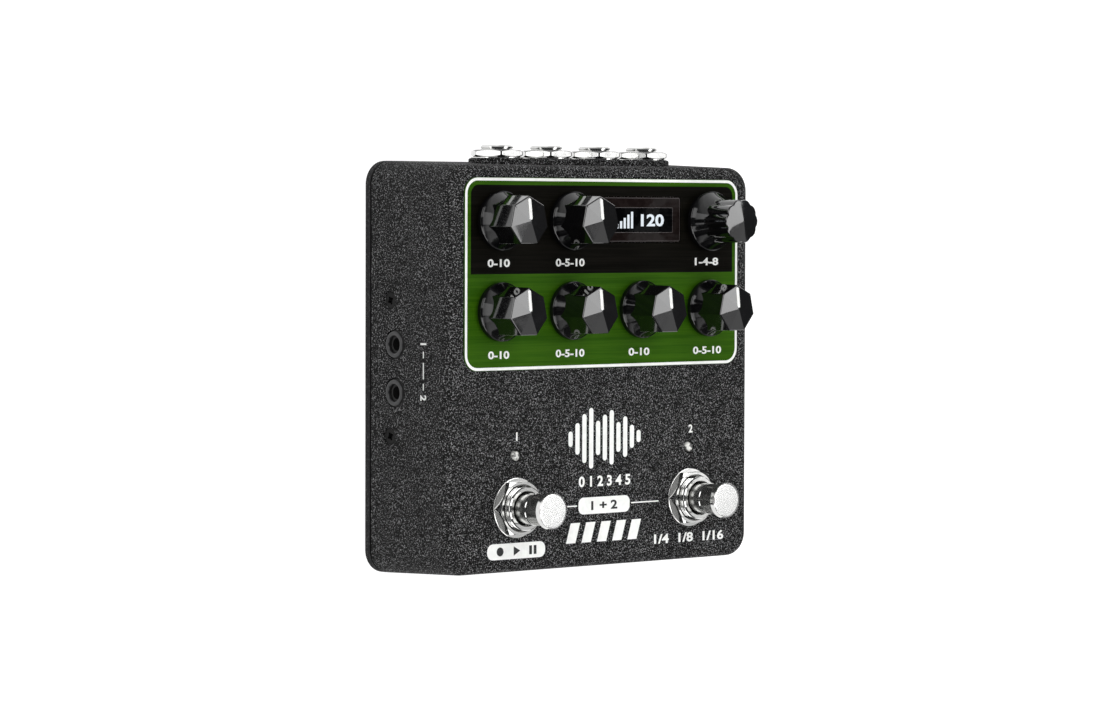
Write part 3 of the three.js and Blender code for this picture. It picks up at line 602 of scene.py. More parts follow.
class Form:
    """Points and faces in millimetres that become one mesh."""

    def __init__(self) -> None:
        """Starts with nothing."""
        self.points: list[Vector] = []
        self.faces: list[list[int]] = []
        self.looks: list[Look] = []

    def face(self, corners: Iterable[int], look: Look) -> None:
        """Adds one face by the numbers of its points, anticlockwise from outside."""
        self.faces.append(list(corners))
        self.looks.append(look)

    def stack(self, rings: Sequence[Sequence[Vector]], looks: Looks, loop: bool = False) -> "Form":
        """Skins a stack of rings with as many points each.

        Args:
            rings: The rings, the lowest first.
            looks: One finish, or a function from the ring's number to the finish above it.
            loop: True if the last ring joins the first, so that there are no ends.

        Returns:
            This form.
        """
        pick = (lambda _level: looks) if isinstance(looks, Look) else looks
        base, count, levels = len(self.points), len(rings[0]), len(rings)
        for ring in rings:
            self.points.extend(Vector(point) for point in ring)
        for level in range(levels if loop else levels - 1):
            low = base + level * count
            high = base + (level + 1) % levels * count
            for i in range(count):
                j = (i + 1) % count
                self.face((low + i, low + j, high + j, high + i), pick(level))
        if not loop:
            self.face(range(base + count - 1, base - 1, -1), pick(0))
            top = base + (levels - 1) * count
            self.face(range(top, top + count), pick(levels - 2))
        return self

    def turned(self, profile: Outline, looks: Looks, steps: int = 64, loop: bool = False) -> "Form":
        """Revolves a profile of radii and heights about Z, as a closed loop where asked."""
        rings = [[(x, y, z) for x, y in circle(radius, steps)] for radius, z in profile]
        return self.stack(rings, looks, loop)

    def prism(self, outline: Outline, low: float, high: float, look: Look, edge: float = 0.0) -> "Form":
        """Raises an outline between two heights, with its upper edge eased.

        Args:
            outline: The points, anticlockwise.
            low: The lower height.
            high: The upper height.
            look: Its finish.
            edge: Width of the eased edge.

        Returns:
            This form.
        """
        centre = sum((Vector(point) for point in outline), Vector((0, 0))) / len(outline)
        rings = [[(x, y, low) for x, y in outline], [(x, y, high - edge) for x, y in outline]]
        if edge:
            eased = []
            for point in outline:
                out = Vector(point) - centre
                inner = centre + out * (1 - edge / out.length)
                eased.append((inner.x, inner.y, high))
            rings.append(eased)
        return self.stack(rings, look)

    def moved(self, matrix: Matrix) -> "Form":
        """Moves every point by a matrix in millimetres."""
        self.points = [matrix @ point for point in self.points]
        return self

    def solid(self, name: str) -> bpy.types.Object:
        """Makes the mesh and its object in metres.

        Args:
            name: The object's name.

        Returns:
            The object.
        """
        mesh = bpy.data.meshes.new(name)
        mesh.from_pydata([point * MM for point in self.points], [], self.faces)
        used = list(dict.fromkeys(self.looks))
        for look in used:
            mesh.materials.append(look.value.material())
        for polygon, look in zip(mesh.polygons, self.looks):
            polygon.material_index = used.index(look)
        mesh.update()
        return linked(name, mesh)


def rod(radius: float, low: float, high: float, look: Look, steps: int = 40) -> Form:
    """A plain round rod along Z."""
    return Form().turned([(radius, low), (radius, high)], look, steps)


def linked(name: str, data: bpy.types.ID) -> bpy.types.Object:
    """Makes an object of some data and puts it in the scene.

    Args:
        name: The object's name.
        data: Its mesh, text, camera or light.

    Returns:
        The object.
    """
    thing = bpy.data.objects.new(name, data)
    bpy.context.scene.collection.objects.link(thing)
    return thing


def carved(target: bpy.types.Object, tool: Form | bpy.types.Object, how: Carve) -> bpy.types.Object:
    """Joins, cuts or intersects one solid with another.

    Args:
        target: The solid that stays.
        tool: The other solid, which goes away.
        how: What is done.

    Returns:
        The target.
    """
    other = tool.solid("carving_tool") if isinstance(tool, Form) else tool
    change = target.modifiers.new("carve", "BOOLEAN")
    change.operation, change.solver, change.object = how.value, "EXACT", other
    change.material_mode = "TRANSFER"
    graph = bpy.context.evaluated_depsgraph_get()
    mesh = bpy.data.meshes.new_from_object(target.evaluated_get(graph))
    target.modifiers.clear()
    target.data = mesh
    bpy.data.objects.remove(other)
    return target


def dressed(
    thing: bpy.types.Object, body: str = CHASSIS, nodes: Sequence[str] = (), sharp: float = 30.0
) -> None:
    """Shades a finished piece, seats it on its body and hides the CAD nodes that it stands for.

    Args:
        thing: The piece.
        body: The body that it rides on.
        nodes: The CAD nodes that it replaces.
        sharp: Edges that bend more than this many degrees stay crisp.
    """
    thing.data.shade_smooth()
    thing.data.set_sharp_from_angle(angle=math.radians(sharp))
    weigh = thing.modifiers.new("even_shading", "WEIGHTED_NORMAL")
    weigh.keep_sharp = True
    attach(thing, body)
    if nodes:
        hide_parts(*nodes)
    log.info("%s on %s, %d faces", thing.name, body, len(thing.data.polygons))


def shift(x: float = 0.0, y: float = 0.0, z: float = 0.0) -> Matrix:
    """A move by millimetres."""
    return Matrix.Translation((x, y, z))


def placed(thing: bpy.types.Object, matrix: Matrix) -> bpy.types.Object:
    """Moves an object's mesh, in metres, by a matrix in millimetres."""
    thing.data.transform(Matrix.Translation(matrix.translation * MM) @ matrix.to_3x3().to_4x4())
    return thing


BACKWARD = Matrix.Rotation(-QUARTER, 4, "X")
LEFTWARD = Matrix.Rotation(-QUARTER, 4, "Y")
RIGHTWARD = Matrix.Rotation(QUARTER, 4, "Y")
SIDES = (("left", -1), ("right", 1))
ENDS = (("front", -1), ("rear", 1))
CORNERS = ((-1, -1), (-1, 1), (1, -1), (1, 1))


@dataclass(frozen=True)
class Plan:
    """Places and sizes that several sub-assemblies share, in millimetres.

    Below and above are heights clear of the face, between which openings are cut.
    """

    face: float = 34.5
    below: float = 30.0
    above: float = 40.0
    columns: tuple[float, ...] = (-38.1, -12.7, 12.7, 38.1)
    rows: Point2 = (39.8, 15.5)
    knob_hole: float = 4.25
    panel: Point2 = (100.0, 51.7)
    panel_corner: float = 4.4
    panel_centre: Point2 = (0.0, 25.55)
    panel_seat: float = 34.1
    window: Point2 = (13.6, 40.2)
    switch_x: float = 31.8
    switch_y: float = -37.3
    lamp_y: float = -23.3
    jack_pitch: float = 17.7
    jack_z: float = 20.0
    jack_seat: float = 56.7
    jack_body: Point3 = (15.0, 22.0, 10.0)
    socket_y: float = 6.5
    socket_z: float = 12.5
    side_screw_y: float = 18.3
    side_screw_z: float = 10.3
    inlet_z: float = 19.5
    inlet_ahead: float = 7.2

    @property
    def knobs(self) -> dict[str, Point2]:
        """Where each knob stands; the third place of the rear row is the window's.

        Returns:
            The places by the knobs' names.
        """
        rear, front = (("bass", "treble", "", "select"), ("time", "repeat", "level", "reverb"))
        places = {name: (x, self.rows[0]) for name, x in zip(rear, self.columns) if name}
        return places | {name: (x, self.rows[1]) for name, x in zip(front, self.columns)}

    @property
    def jacks(self) -> list[float]:
        """Where each jack stands along the rear wall, from the left."""
        return [(place - 1.5) * self.jack_pitch for place in range(4)]


PLAN = Plan()


@dataclass(frozen=True)
class CrossScrew:
    """Countersunk screw with a cross recess, head up at Z 0."""

    head: float
    head_depth: float
    shank: float
    length: float
    cross: float
    slack: float = 0.25

    def room(self, depth: float, look: Look) -> Form:
        """The countersunk hole that the screw sits in."""
        wide, rim = self.shank + self.slack, self.head + self.slack
        return Form().turned([(wide, -depth), (wide, -self.head_depth), (rim, 0), (rim, 2)], look, 40)

    def build(self, name: str, node: str, place: Matrix) -> None:
        """Builds one screw.

        Args:
            name: The piece's name.
            node: The CAD node that it replaces.
            place: Where its head lies, in millimetres.
        """
        thread = threads(self.shank, 0.5 - self.length, -self.head_depth - 0.35, (0.16, 0.2, 0.0, 0.4))
        profile = [(self.shank * 0.7, -self.length), *thread, (self.shank, -self.head_depth)]
        profile += [(self.head - 0.12, -0.22), (self.head, -0.12), (self.head - 0.12, 0)]
        screw = Form().turned(profile, Look.SCREW, 40).solid(name)
        for turn in (0, QUARTER):
            bar = Form().prism(rounded(self.cross, 0.62, 0.12, 2), -1.0, 1.0, Look.SCREW)
            carved(screw, bar.moved(Matrix.Rotation(turn, 4, "Z")), Carve.CUT)
        carved(screw, Form().turned([(0.3, -1.25), (0.75, -0.35), (0.95, 0.5)], Look.SCREW, 24), Carve.CUT)
        dressed(placed(screw, place), nodes=[node])


@dataclass
class Lettering:
    """Thin marks a hair above a surface: plain numbers and simple shapes."""

    slot: str
    base: float
    proud: float = 0.03
    sunk: float = 0.02
    weight: float = 0.03
    wall: Matrix = field(default_factory=lambda: Matrix.Identity(4))

    def number(
        self, name: str, words: str, centre: Point2, height: float, wide: float = 0.0,
        look: Look = Look.WHITE, lift: float = 0.0,
    ) -> None:
        """Prints plain numbers as a thin mesh.

        Args:
            name: The piece's name.
            words: The numbers.
            centre: Their centre.
            height: How tall they are.
            wide: Their width, or 0 for the font's own.
            look: Their finish.
            lift: How far above the surface they lie.
        """
        curve = bpy.data.curves.new(name, "FONT")
        curve.body, curve.resolution_u, curve.offset, curve.extrude = words, 3, self.weight, 0.5
        text = linked(name, curve)
        graph = bpy.context.evaluated_depsgraph_get()
        mesh = bpy.data.meshes.new_from_object(text.evaluated_get(graph))
        bpy.data.objects.remove(text)
        low, high = (Vector(end(v.co[i] for v in mesh.vertices) for i in range(3)) for end in (min, max))
        size = high - low
        tall = height * MM / size.y
        broad = wide * MM / size.x if wide else tall
        thick = (self.proud + self.sunk) * MM / size.z
        place = Vector((*centre, self.base + lift + (self.proud - self.sunk) / 2)) * MM
        fitted = Matrix.Translation(place) @ Matrix.Diagonal((broad, tall, thick, 1))
        mesh.transform(fitted @ Matrix.Translation(-(low + high) / 2))
        mesh.materials.clear()
        mesh.materials.append(look.value.material())
        dressed(placed(linked(name, mesh), self.wall))

    def patches(self, outlines: Sequence[Outline], look: Look = Look.WHITE, lift: float = 0.0) -> Form:
        """Draws thin patches.

        Args:
            outlines: Their outlines.
            look: Their ink.
            lift: How far above the surface they lie.

        Returns:
            One form with all of them.
        """
        form = Form()
        for outline in outlines:
            form.prism(outline, self.base + lift - self.sunk, self.base + lift + self.proud, look)
        return form

    def lines(self, pairs: Sequence[tuple[Outline, Outline]], look: Look, lift: float = 0.0) -> Form:
        """Draws thin lines that close on themselves.

        Args:
            pairs: Each line's outer and inner outline, with as many points.
            look: Their ink.
            lift: How far above the surface they lie.

        Returns:
            One form with all of them.
        """
        low, high = self.base + lift - self.sunk, self.base + lift + self.proud
        form = Form()
        for outer, inner in pairs:
            round_line = ((inner, low), (outer, low), (outer, high), (inner, high))
            form.stack([[(x, y, z) for x, y in line] for line, z in round_line], look, loop=True)
        return form

    def printed(self, name: str, form: Form) -> None:
        """Makes a form into a printed piece."""
        dressed(form.moved(self.wall).solid(name))


@dataclass
class Case:
    """Die-cast shell, base plate and the screws between them."""

    width: float = 110.0
    length: float = 109.4
    foot_reach: float = 1.35
    corner: float = 6.4
    edge: float = 3.0
    wall: float = 2.6
    gap: float = 0.25
    face_thickness: float = 2.5
    plate: float = 2.2
    post_radius: float = 3.6
    post_bore: float = 11.2
    seam: float = 0.5
    seam_depth: float = 0.9
    land_radius: float = 7.7
    land_bevel: float = 0.3
    switch_hole: float = 6.25
    lamp_hole: float = 1.85
    jack_hole: float = 4.75
    socket_hole: float = 4.05
    inlet_hole: float = 4.85
    display_opening: Point2 = (24.8, 8.6)
    plate_screw: CrossScrew = CrossScrew(2.8, 1.6, 1.5, 10.0, 3.0)
    side_screw: CrossScrew = CrossScrew(2.3, 1.3, 1.25, 7.0, 2.4)

    def half_width(self, z: float) -> float:
        """Half the width at a height."""
        return self.width / 2 + self.foot_reach * (PLAN.face - z) / PLAN.face

    def half_length(self, z: float) -> float:
        """Half the length at a height."""
        return self.length / 2 + self.foot_reach * (PLAN.face - z) / PLAN.face

    def inner_x(self, z: float) -> float:
        """How far along X a body inside the walls reaches, if its top is at a height."""
        return self.half_width(z) - self.wall - self.gap

    @property
    def jack_rear(self) -> float:
        """Where the jacks' bodies end inside the rear wall."""
        return self.half_length(PLAN.jack_z + PLAN.jack_body[2] / 2) - self.wall - self.gap

    @property
    def inlet_y(self) -> float:
        """The power inlet's place along its wall, ahead of the jacks' bodies."""
        return self.jack_rear - PLAN.jack_body[1] - PLAN.inlet_ahead

    def post(self, side_x: int, side_y: int, z: float = 0.0) -> Matrix:
        """The place of a corner post, which runs 1 mm into the walls.

        Args:
            side_x: -1 for the left and 1 for the right.
            side_y: -1 for the front and 1 for the rear.
            z: Height of the place.

        Returns:
            The move to it.
        """
        inset = self.wall + self.post_radius - 1
        x, y = self.half_width(self.plate) - inset, self.half_length(self.plate) - inset
        return shift(side_x * x, side_y * y, z)

    def screw_seat(self, side: int) -> Matrix:
        """The place of a side screw's head, just under the left wall's surface."""
        x = 0.35 - self.half_width(PLAN.side_screw_z)
        return shift(x, side * PLAN.side_screw_y, PLAN.side_screw_z) @ LEFTWARD

    def ring(self, z: float, inset: float, steps: int = 12) -> list[Vector]:
        """The case's outline at a height, drawn in by an inset."""
        outline = grown((2 * self.half_width(z), 2 * self.half_length(z)), self.corner, -inset, steps)
        return [Vector((x, y, z)) for x, y in outline]

    def outside(self) -> Form:
        """The leaning walls and the rounded edge round the face.

        Returns:
            The closed form.
        """
        seam = self.plate + self.seam
        levels = [(self.plate, self.seam_depth), (seam, self.seam_depth), (seam + 0.02, 0.1)]
        levels += [(z, 0.0) for z in (seam + 0.12, 9.0, 17.0, 25.0)]
        edge = arc((-self.edge, PLAN.face - self.edge), (self.edge, self.edge), QUARTER, 8)
        rings = [self.ring(z, inset) for z, inset in levels] + [self.ring(z, -x) for x, z in edge]
        # The lowest bands, the back and roof of the seam's slot, are painted near-black: painted shade.
        return Form().stack(rings, lambda level: Look.PAINTED_SHADE if level < 2 else Look.COAT)

    def inside(self) -> bpy.types.Object:
        """The room inside, with the corner posts left standing.

        Returns:
            The room as a solid.
        """
        levels = (self.plate - 1, PLAN.face - self.face_thickness)
        room = Form().stack([self.ring(z, self.wall, 8) for z in levels], Look.COAT).solid("room")
        for corner in CORNERS:
            carved(room, rod(self.post_radius, -2, 60, Look.COAT, 32).moved(self.post(*corner)), Carve.CUT)
        return room

    def land(self) -> Form:
        """Flat land across the rear wall, under the jack washers, round about the outermost jacks.

        Returns:
            The form to join to the wall.
        """
        root = self.half_length(PLAN.face) - self.wall / 2
        reach = PLAN.jack_seat - root
        size = (2 * (PLAN.jacks[-1] + self.land_radius), 2 * self.land_radius)
        levels = ((0, 0.0), (reach - self.land_bevel, 0.0), (reach, self.land_bevel))
        rings = [[(x, y, z) for x, y in grown(size, self.land_radius, -inset, 16)] for z, inset in levels]
        return Form().stack(rings, Look.COAT).moved(shift(0, root, PLAN.jack_z) @ BACKWARD)

    def holes(self) -> list[Form]:
        """Everything that is cut out of the shell's walls and face.

        Returns:
            The forms to cut out.
        """
        under = PLAN.face - self.face_thickness - 1
        within = self.wall + 1
        cuts = []

        def hole(radius: float, place: Matrix, depth: float = 5.5, steps: int = 40) -> None:
            """Adds one round hole."""
            cuts.append(rod(radius, 0, depth, Look.COAT, steps).moved(place))

        for x in PLAN.columns:
            for y in PLAN.rows:
                if (x, y) in PLAN.knobs.values():
                    hole(PLAN.knob_hole, shift(x, y, under))
        for _, side in SIDES:
            hole(self.switch_hole, shift(side * PLAN.switch_x, PLAN.switch_y, under))
            hole(self.lamp_hole, shift(side * PLAN.switch_x, PLAN.lamp_y, under))
        for x in PLAN.jacks:
            hole(self.jack_hole, shift(x, PLAN.jack_seat - 6.2, PLAN.jack_z) @ BACKWARD, 8, 48)
        for _, side in ENDS:
            x = within - self.half_width(PLAN.socket_z)
            hole(self.socket_hole, shift(x, side * PLAN.socket_y, PLAN.socket_z) @ LEFTWARD, 6, 48)
            cuts.append(self.side_screw.room(4.0, Look.COAT).moved(self.screw_seat(side)))
        x = self.half_width(PLAN.inlet_z) - within
        hole(self.inlet_hole, shift(x, self.inlet_y, PLAN.inlet_z) @ RIGHTWARD, 6, 48)
        opening = rounded(*self.display_opening, 0.3, 2, PLAN.window)
        cuts.append(Form().prism(opening, under, PLAN.above, Look.COAT))
        pocket = grown(PLAN.panel, PLAN.panel_corner, self.gap, 10, PLAN.panel_centre)
        cuts.append(Form().prism(pocket, PLAN.panel_seat, PLAN.above, Look.COAT))
        return cuts

    def build(self) -> None:
        """Builds the shell, the plate and the plate's screws."""
        shell = carved(self.outside().solid("case_shell"), self.land(), Carve.JOIN)
        for cut in (self.inside(), *self.holes()):
            carved(shell, cut, Carve.CUT)
        for corner in CORNERS:
            radius = self.plate_screw.shank + self.plate_screw.slack
            carved(shell, rod(radius, 0, self.post_bore, Look.COAT, 24).moved(self.post(*corner)), Carve.CUT)
        dressed(shell, nodes=["enclosure_shell"], sharp=28)
        self.build_plate()

    def build_plate(self) -> None:
        """Builds the flat steel plate with eased edges, and its four screws."""
        top = self.plate
        size = (2 * self.half_width(top), 2 * self.half_length(top))
        levels = ((0.0, 0.25), (0.25, 0.0), (top - 0.1, 0.0), (top - 0.02, 0.08), (top, 0.3))
        rings = [[(x, y, z) for x, y in grown(size, self.corner, -inset)] for z, inset in levels]
        # The top ledge and face, seen through the seam's slot, are painted near-black: painted shade.
        form = Form().stack(rings, lambda level: Look.PLATE if level < 3 else Look.PAINTED_SHADE)
        plate = form.solid("base_plate_sheet")
        for end, side_y in ENDS:
            for label, side_x in SIDES:
                place = self.post(side_x, side_y, 0.2) @ Matrix.Rotation(math.pi, 4, "X")
                carved(plate, self.plate_screw.room(5.0, Look.PLATE).moved(place), Carve.CUT)
                self.plate_screw.build(f"plate_screw_{end}_{label}", f"base_screw_{end}_{label}", place)
        dressed(plate, nodes=["base_plate"])


@dataclass
class Panel:
    """Brushed printed panel, its marks and the display window."""

    top: float = 34.7
    line_inset: float = 0.12
    line_width: float = 0.78
    field_side: float = 47.9
    field_high: float = 49.4
    field_corner: float = 2.6
    window: Point2 = (28.6, 12.4)
    window_corner: float = 0.6
    window_highlight_lines: tuple[Point3, Point3] = ((28.2, 12.0, 0.5), (27.9, 11.7, 0.4))
    screen: Point2 = (22.6, 6.7)
    screen_corner: float = 0.15
    screen_centre: Point2 = (13.6, 40.05)
    screen_highlight_line: Point3 = (22.9, 7.0, 0.2)
    digits_centre: Point2 = (17.4, 40.0)
    digits: Point2 = (8.6, 3.4)
    bar_width: float = 0.8
    bars: tuple[float, ...] = (1.2, 2.0, 2.9, 3.8, 4.6)
    bar_pitch: float = 1.35
    bar_foot: Point2 = (4.4, 37.75)
    scale_height: float = 2.15
    scales: tuple = (
        ("bass", "0-10", (-38.2, 28.5), 7.8),
        ("treble", "0-5-10", (-12.8, 28.5), 10.4),
        ("select", "1-4-8", (38.0, 28.5), 9.0),
        ("time", "0-10", (-38.1, 3.9), 7.4),
        ("repeat", "0-5-10", (-12.7, 3.9), 10.4),
        ("level", "0-10", (12.6, 3.8), 7.8),
        ("reverb", "0-5-10", (38.4, 3.7), 10.8),
    )

    def build(self) -> None:
        """Builds the panel, its prints, numbers and window."""
        outline = grown(PLAN.panel, PLAN.panel_corner, 0.0, 12, PLAN.panel_centre)
        plate = Form().prism(outline, PLAN.panel_seat, self.top, Look.GREEN, 0.08).solid("control_panel")
        self.pierce(plate, Look.GREEN, PLAN.rows)
        dressed(plate, nodes=["control_panel_plate"])
        ink = Lettering("panel_print", self.top)
        self.build_fields(ink)
        for name, words, centre, wide in self.scales:
            lift = ink.proud if centre[1] > PLAN.panel_centre[1] else 0.0
            ink.number(f"{name}_scale_numbers", words, centre, self.scale_height, wide, lift=lift)
        self.build_window(Lettering("smoked_lens", self.top))

    def pierce(self, thing: bpy.types.Object, look: Look, rows: Sequence[float]) -> None:
        """Cuts the knobs' holes and the window's opening.

        Args:
            thing: The sheet that they are cut from.
            look: The finish inside the round holes.
            rows: The rows of knobs that it lies under.
        """
        for x, y in PLAN.knobs.values():
            if y in rows:
                hole = rod(PLAN.knob_hole, PLAN.below, PLAN.above, look).moved(shift(x, y))
                carved(thing, hole, Carve.CUT)
        opening = grown(self.window, self.window_corner, 0.1, 3, PLAN.window)
        carved(thing, Form().prism(opening, PLAN.below, PLAN.above, Look.DARK), Carve.CUT)

    def build_fields(self, ink: Lettering) -> None:
        """Prints the white outline and the black upper field.

        Args:
            ink: The printer of the panel.
        """
        insets = (self.line_inset, self.line_inset + self.line_width)
        pair = [grown(PLAN.panel, PLAN.panel_corner, -inset, 12, PLAN.panel_centre) for inset in insets]
        ink.printed("panel_outline_print", ink.lines([pair], Look.WHITE))
        side, low = self.field_side, PLAN.panel_centre[1]
        whole = rounded(2 * side, 2 * (self.field_high - low), self.field_corner, 8, (0, low))
        outline = [point for point in whole if point[1] > low] + [(-side, low), (side, low)]
        dark = ink.patches([outline], Look.DARK).solid("panel_dark_field_print")
        self.pierce(dark, Look.DARK, PLAN.rows[:1])
        dressed(dark)

    def build_window(self, ink: Lettering) -> None:
        """Builds the smoked window, the dark screen under it, the lit digits and bars, and painted edge
        highlight lines.

        Args:
            ink: The printer of the window.
        """
        outline = rounded(*self.window, self.window_corner, 4, PLAN.window)
        lens = Form().prism(outline, PLAN.panel_seat, self.top, Look.SMOKE, 0.12).solid("display_lens")
        dressed(lens, nodes=["display_window"])
        screen = rounded(*self.screen, self.screen_corner, 2, self.screen_centre)
        ink.printed("display_screen", ink.patches([screen], Look.SCREEN, -0.015))
        # These light lines round the screen and inside the window's edge are painted edge highlights.
        pairs = (
            (rounded(*self.screen_highlight_line, 2, self.screen_centre), screen),
            [rounded(*line, 4, PLAN.window) for line in self.window_highlight_lines],
        )
        ink.printed("display_painted_highlight_lines", ink.lines(pairs, Look.EDGE_HIGHLIGHT_LINE, -0.02))
        wide, tall = self.digits
        ink.number("display_digits", "120", self.digits_centre, tall, wide, Look.PIXELS, 0.015)
        bars = []
        for index, tall in enumerate(self.bars):
            centre = (self.bar_foot[0] + self.bar_pitch * index, self.bar_foot[1] + tall / 2)
            bars.append(rounded(self.bar_width, tall, 0.05, 1, centre))
        ink.printed("display_level_bars", ink.patches(bars, Look.PIXELS, 0.015))


@dataclass
class FacePrints:
    """Generic white marks on the powder coat of the face and the left wall."""

    case: Case
    proud: float = 0.035
    sunk: float = 0.05
    lamp_numbers_x: Point2 = (-31.5, 32.4)
    lamp_numbers_y: float = -18.15
    wave: tuple[float, ...] = (4.2, 8.6, 13.4, 16.6, 9.4, 12.6, 15.0, 8.2, 11.2, 6.4, 3.4)
    wave_centre: Point2 = (0.25, -19.55)
    wave_pitch: float = 2.5
    wave_bar: float = 1.55
    number_row_y: float = -31.35
    slant_left: float = -13.8
    slant_pitch: float = 5.62
    slant_width: float = 3.4
    slant_lean: float = 1.7
    slant_rows: Point2 = (-48.0, -42.5)
    middle_pill: Point2 = (0.1, -38.0)
    middle_size: Point2 = (18.8, 4.6)
    middle_lines_x: tuple[Point2, Point2] = ((-13.4, -9.9), (10.1, 20.3))
    middle_lines_y: Point2 = (-38.05, -37.7)
    left_pill: Point2 = (-31.55, -48.9)
    left_size: Point2 = (20.5, 4.3)
    signs_x: tuple[float, ...] = (-37.3, -32.5, -27.0, -25.4)
    right_numbers: Point2 = (31.95, -48.45)
    side_z: float = 24.1
    side_numbers: Point2 = (-6.9, 7.5)
    side_dashes: tuple[Point2, ...] = ((-4.9, -3.1), (-1.9, 2.5), (3.7, 5.5))

    def build(self) -> None:
        """Builds every mark on the coat."""
        ink = Lettering("powder_coat", PLAN.face, self.proud, self.sunk)
        for (label, _), words, x in zip(SIDES, "12", self.lamp_numbers_x):
            ink.number(f"{label}_lamp_number", words, (x, self.lamp_numbers_y), 2.3)
        self.build_wave(ink)
        self.build_middle_pill(ink)
        self.build_left_pill(ink)
        ink.number("right_switch_numbers", "1/4  1/8  1/16", self.right_numbers, 2.7, 26.5)
        self.build_side_marks()

    def build_wave(self, ink: Lettering) -> None:
        """Prints a plain row of upright bars, a row of numbers and a row of slanted bars.

        Args:
            ink: The printer of the face.
        """
        centre_x, centre_y = self.wave_centre
        bars = []
        for index, tall in enumerate(self.wave):
            x = centre_x + (index - (len(self.wave) - 1) / 2) * self.wave_pitch
            bars.append(rounded(self.wave_bar, tall, 0.77, 6, (x, centre_y)))
        ink.printed("face_bar_print", ink.patches(bars))
        ink.number("face_number_row", "0 1 2 3 4 5", (centre_x, self.number_row_y), 3.0, 19.0)
        front, rear = self.slant_rows
        slants = []
        for index in range(5):
            left = self.slant_left + self.slant_pitch * index
            right = left + self.slant_width
            upper = [(x + self.slant_lean, rear) for x in (right, left)]
            slants.append([(left, front), (right, front), *upper])
        ink.printed("face_slant_print", ink.patches(slants))

    def build_middle_pill(self, ink: Lettering) -> None:
        """Prints the pill between the switches, with its two lines and its numbers.

        Args:
            ink: The printer of the face.
        """
        pill = [rounded(*self.middle_size, 1.7, 6, self.middle_pill)]
        pill += [oblong(*line, *self.middle_lines_y) for line in self.middle_lines_x]
        ink.printed("middle_pill_print", ink.patches(pill))
        ink.number("middle_pill_numbers", "1 + 2", self.middle_pill, 2.5, 9.6, Look.BLACK_INK, self.proud)

    def build_left_pill(self, ink: Lettering) -> None:
        """Prints the pill below the left switch, with its round, arrow and pause signs.

        Args:
            ink: The printer of the face.
        """
        y = self.left_pill[1]
        dot, arrow, *pauses = self.signs_x
        ink.printed("left_pill_print", ink.patches([rounded(*self.left_size, 1.9, 6, self.left_pill)]))
        signs = [circle(1.2, 20, (dot, y)), [(arrow, y - 1.25), (arrow + 2.3, y), (arrow, y + 1.25)]]
        signs += [oblong(x, x + 0.95, y - 1.2, y + 1.2) for x in pauses]
        ink.printed("left_pill_glyphs", ink.patches(signs, Look.BLACK_INK, self.proud))

    def build_side_marks(self) -> None:
        """Prints a number beside each small socket, with a broken line between them, on the left wall."""
        lean = Matrix.Rotation(math.atan(self.case.foot_reach / PLAN.face), 4, "Y")
        facing = Matrix(((0, 0, -1, 0), (-1, 0, 0, 0), (0, 1, 0, 0), (0, 0, 0, 1)))
        wall = shift(-self.case.half_width(self.side_z), 0, self.side_z) @ lean @ facing
        ink = Lettering("powder_coat", 0.0, self.proud, self.sunk, wall=wall)
        for name, words, along in zip(("rear", "front"), "12", self.side_numbers):
            ink.number(f"side_number_{name}", words, (along, 0), 2.4)
        dashes = [oblong(*dash, -0.18, 0.18) for dash in self.side_dashes]
        ink.printed("side_dash_print", ink.patches(dashes))


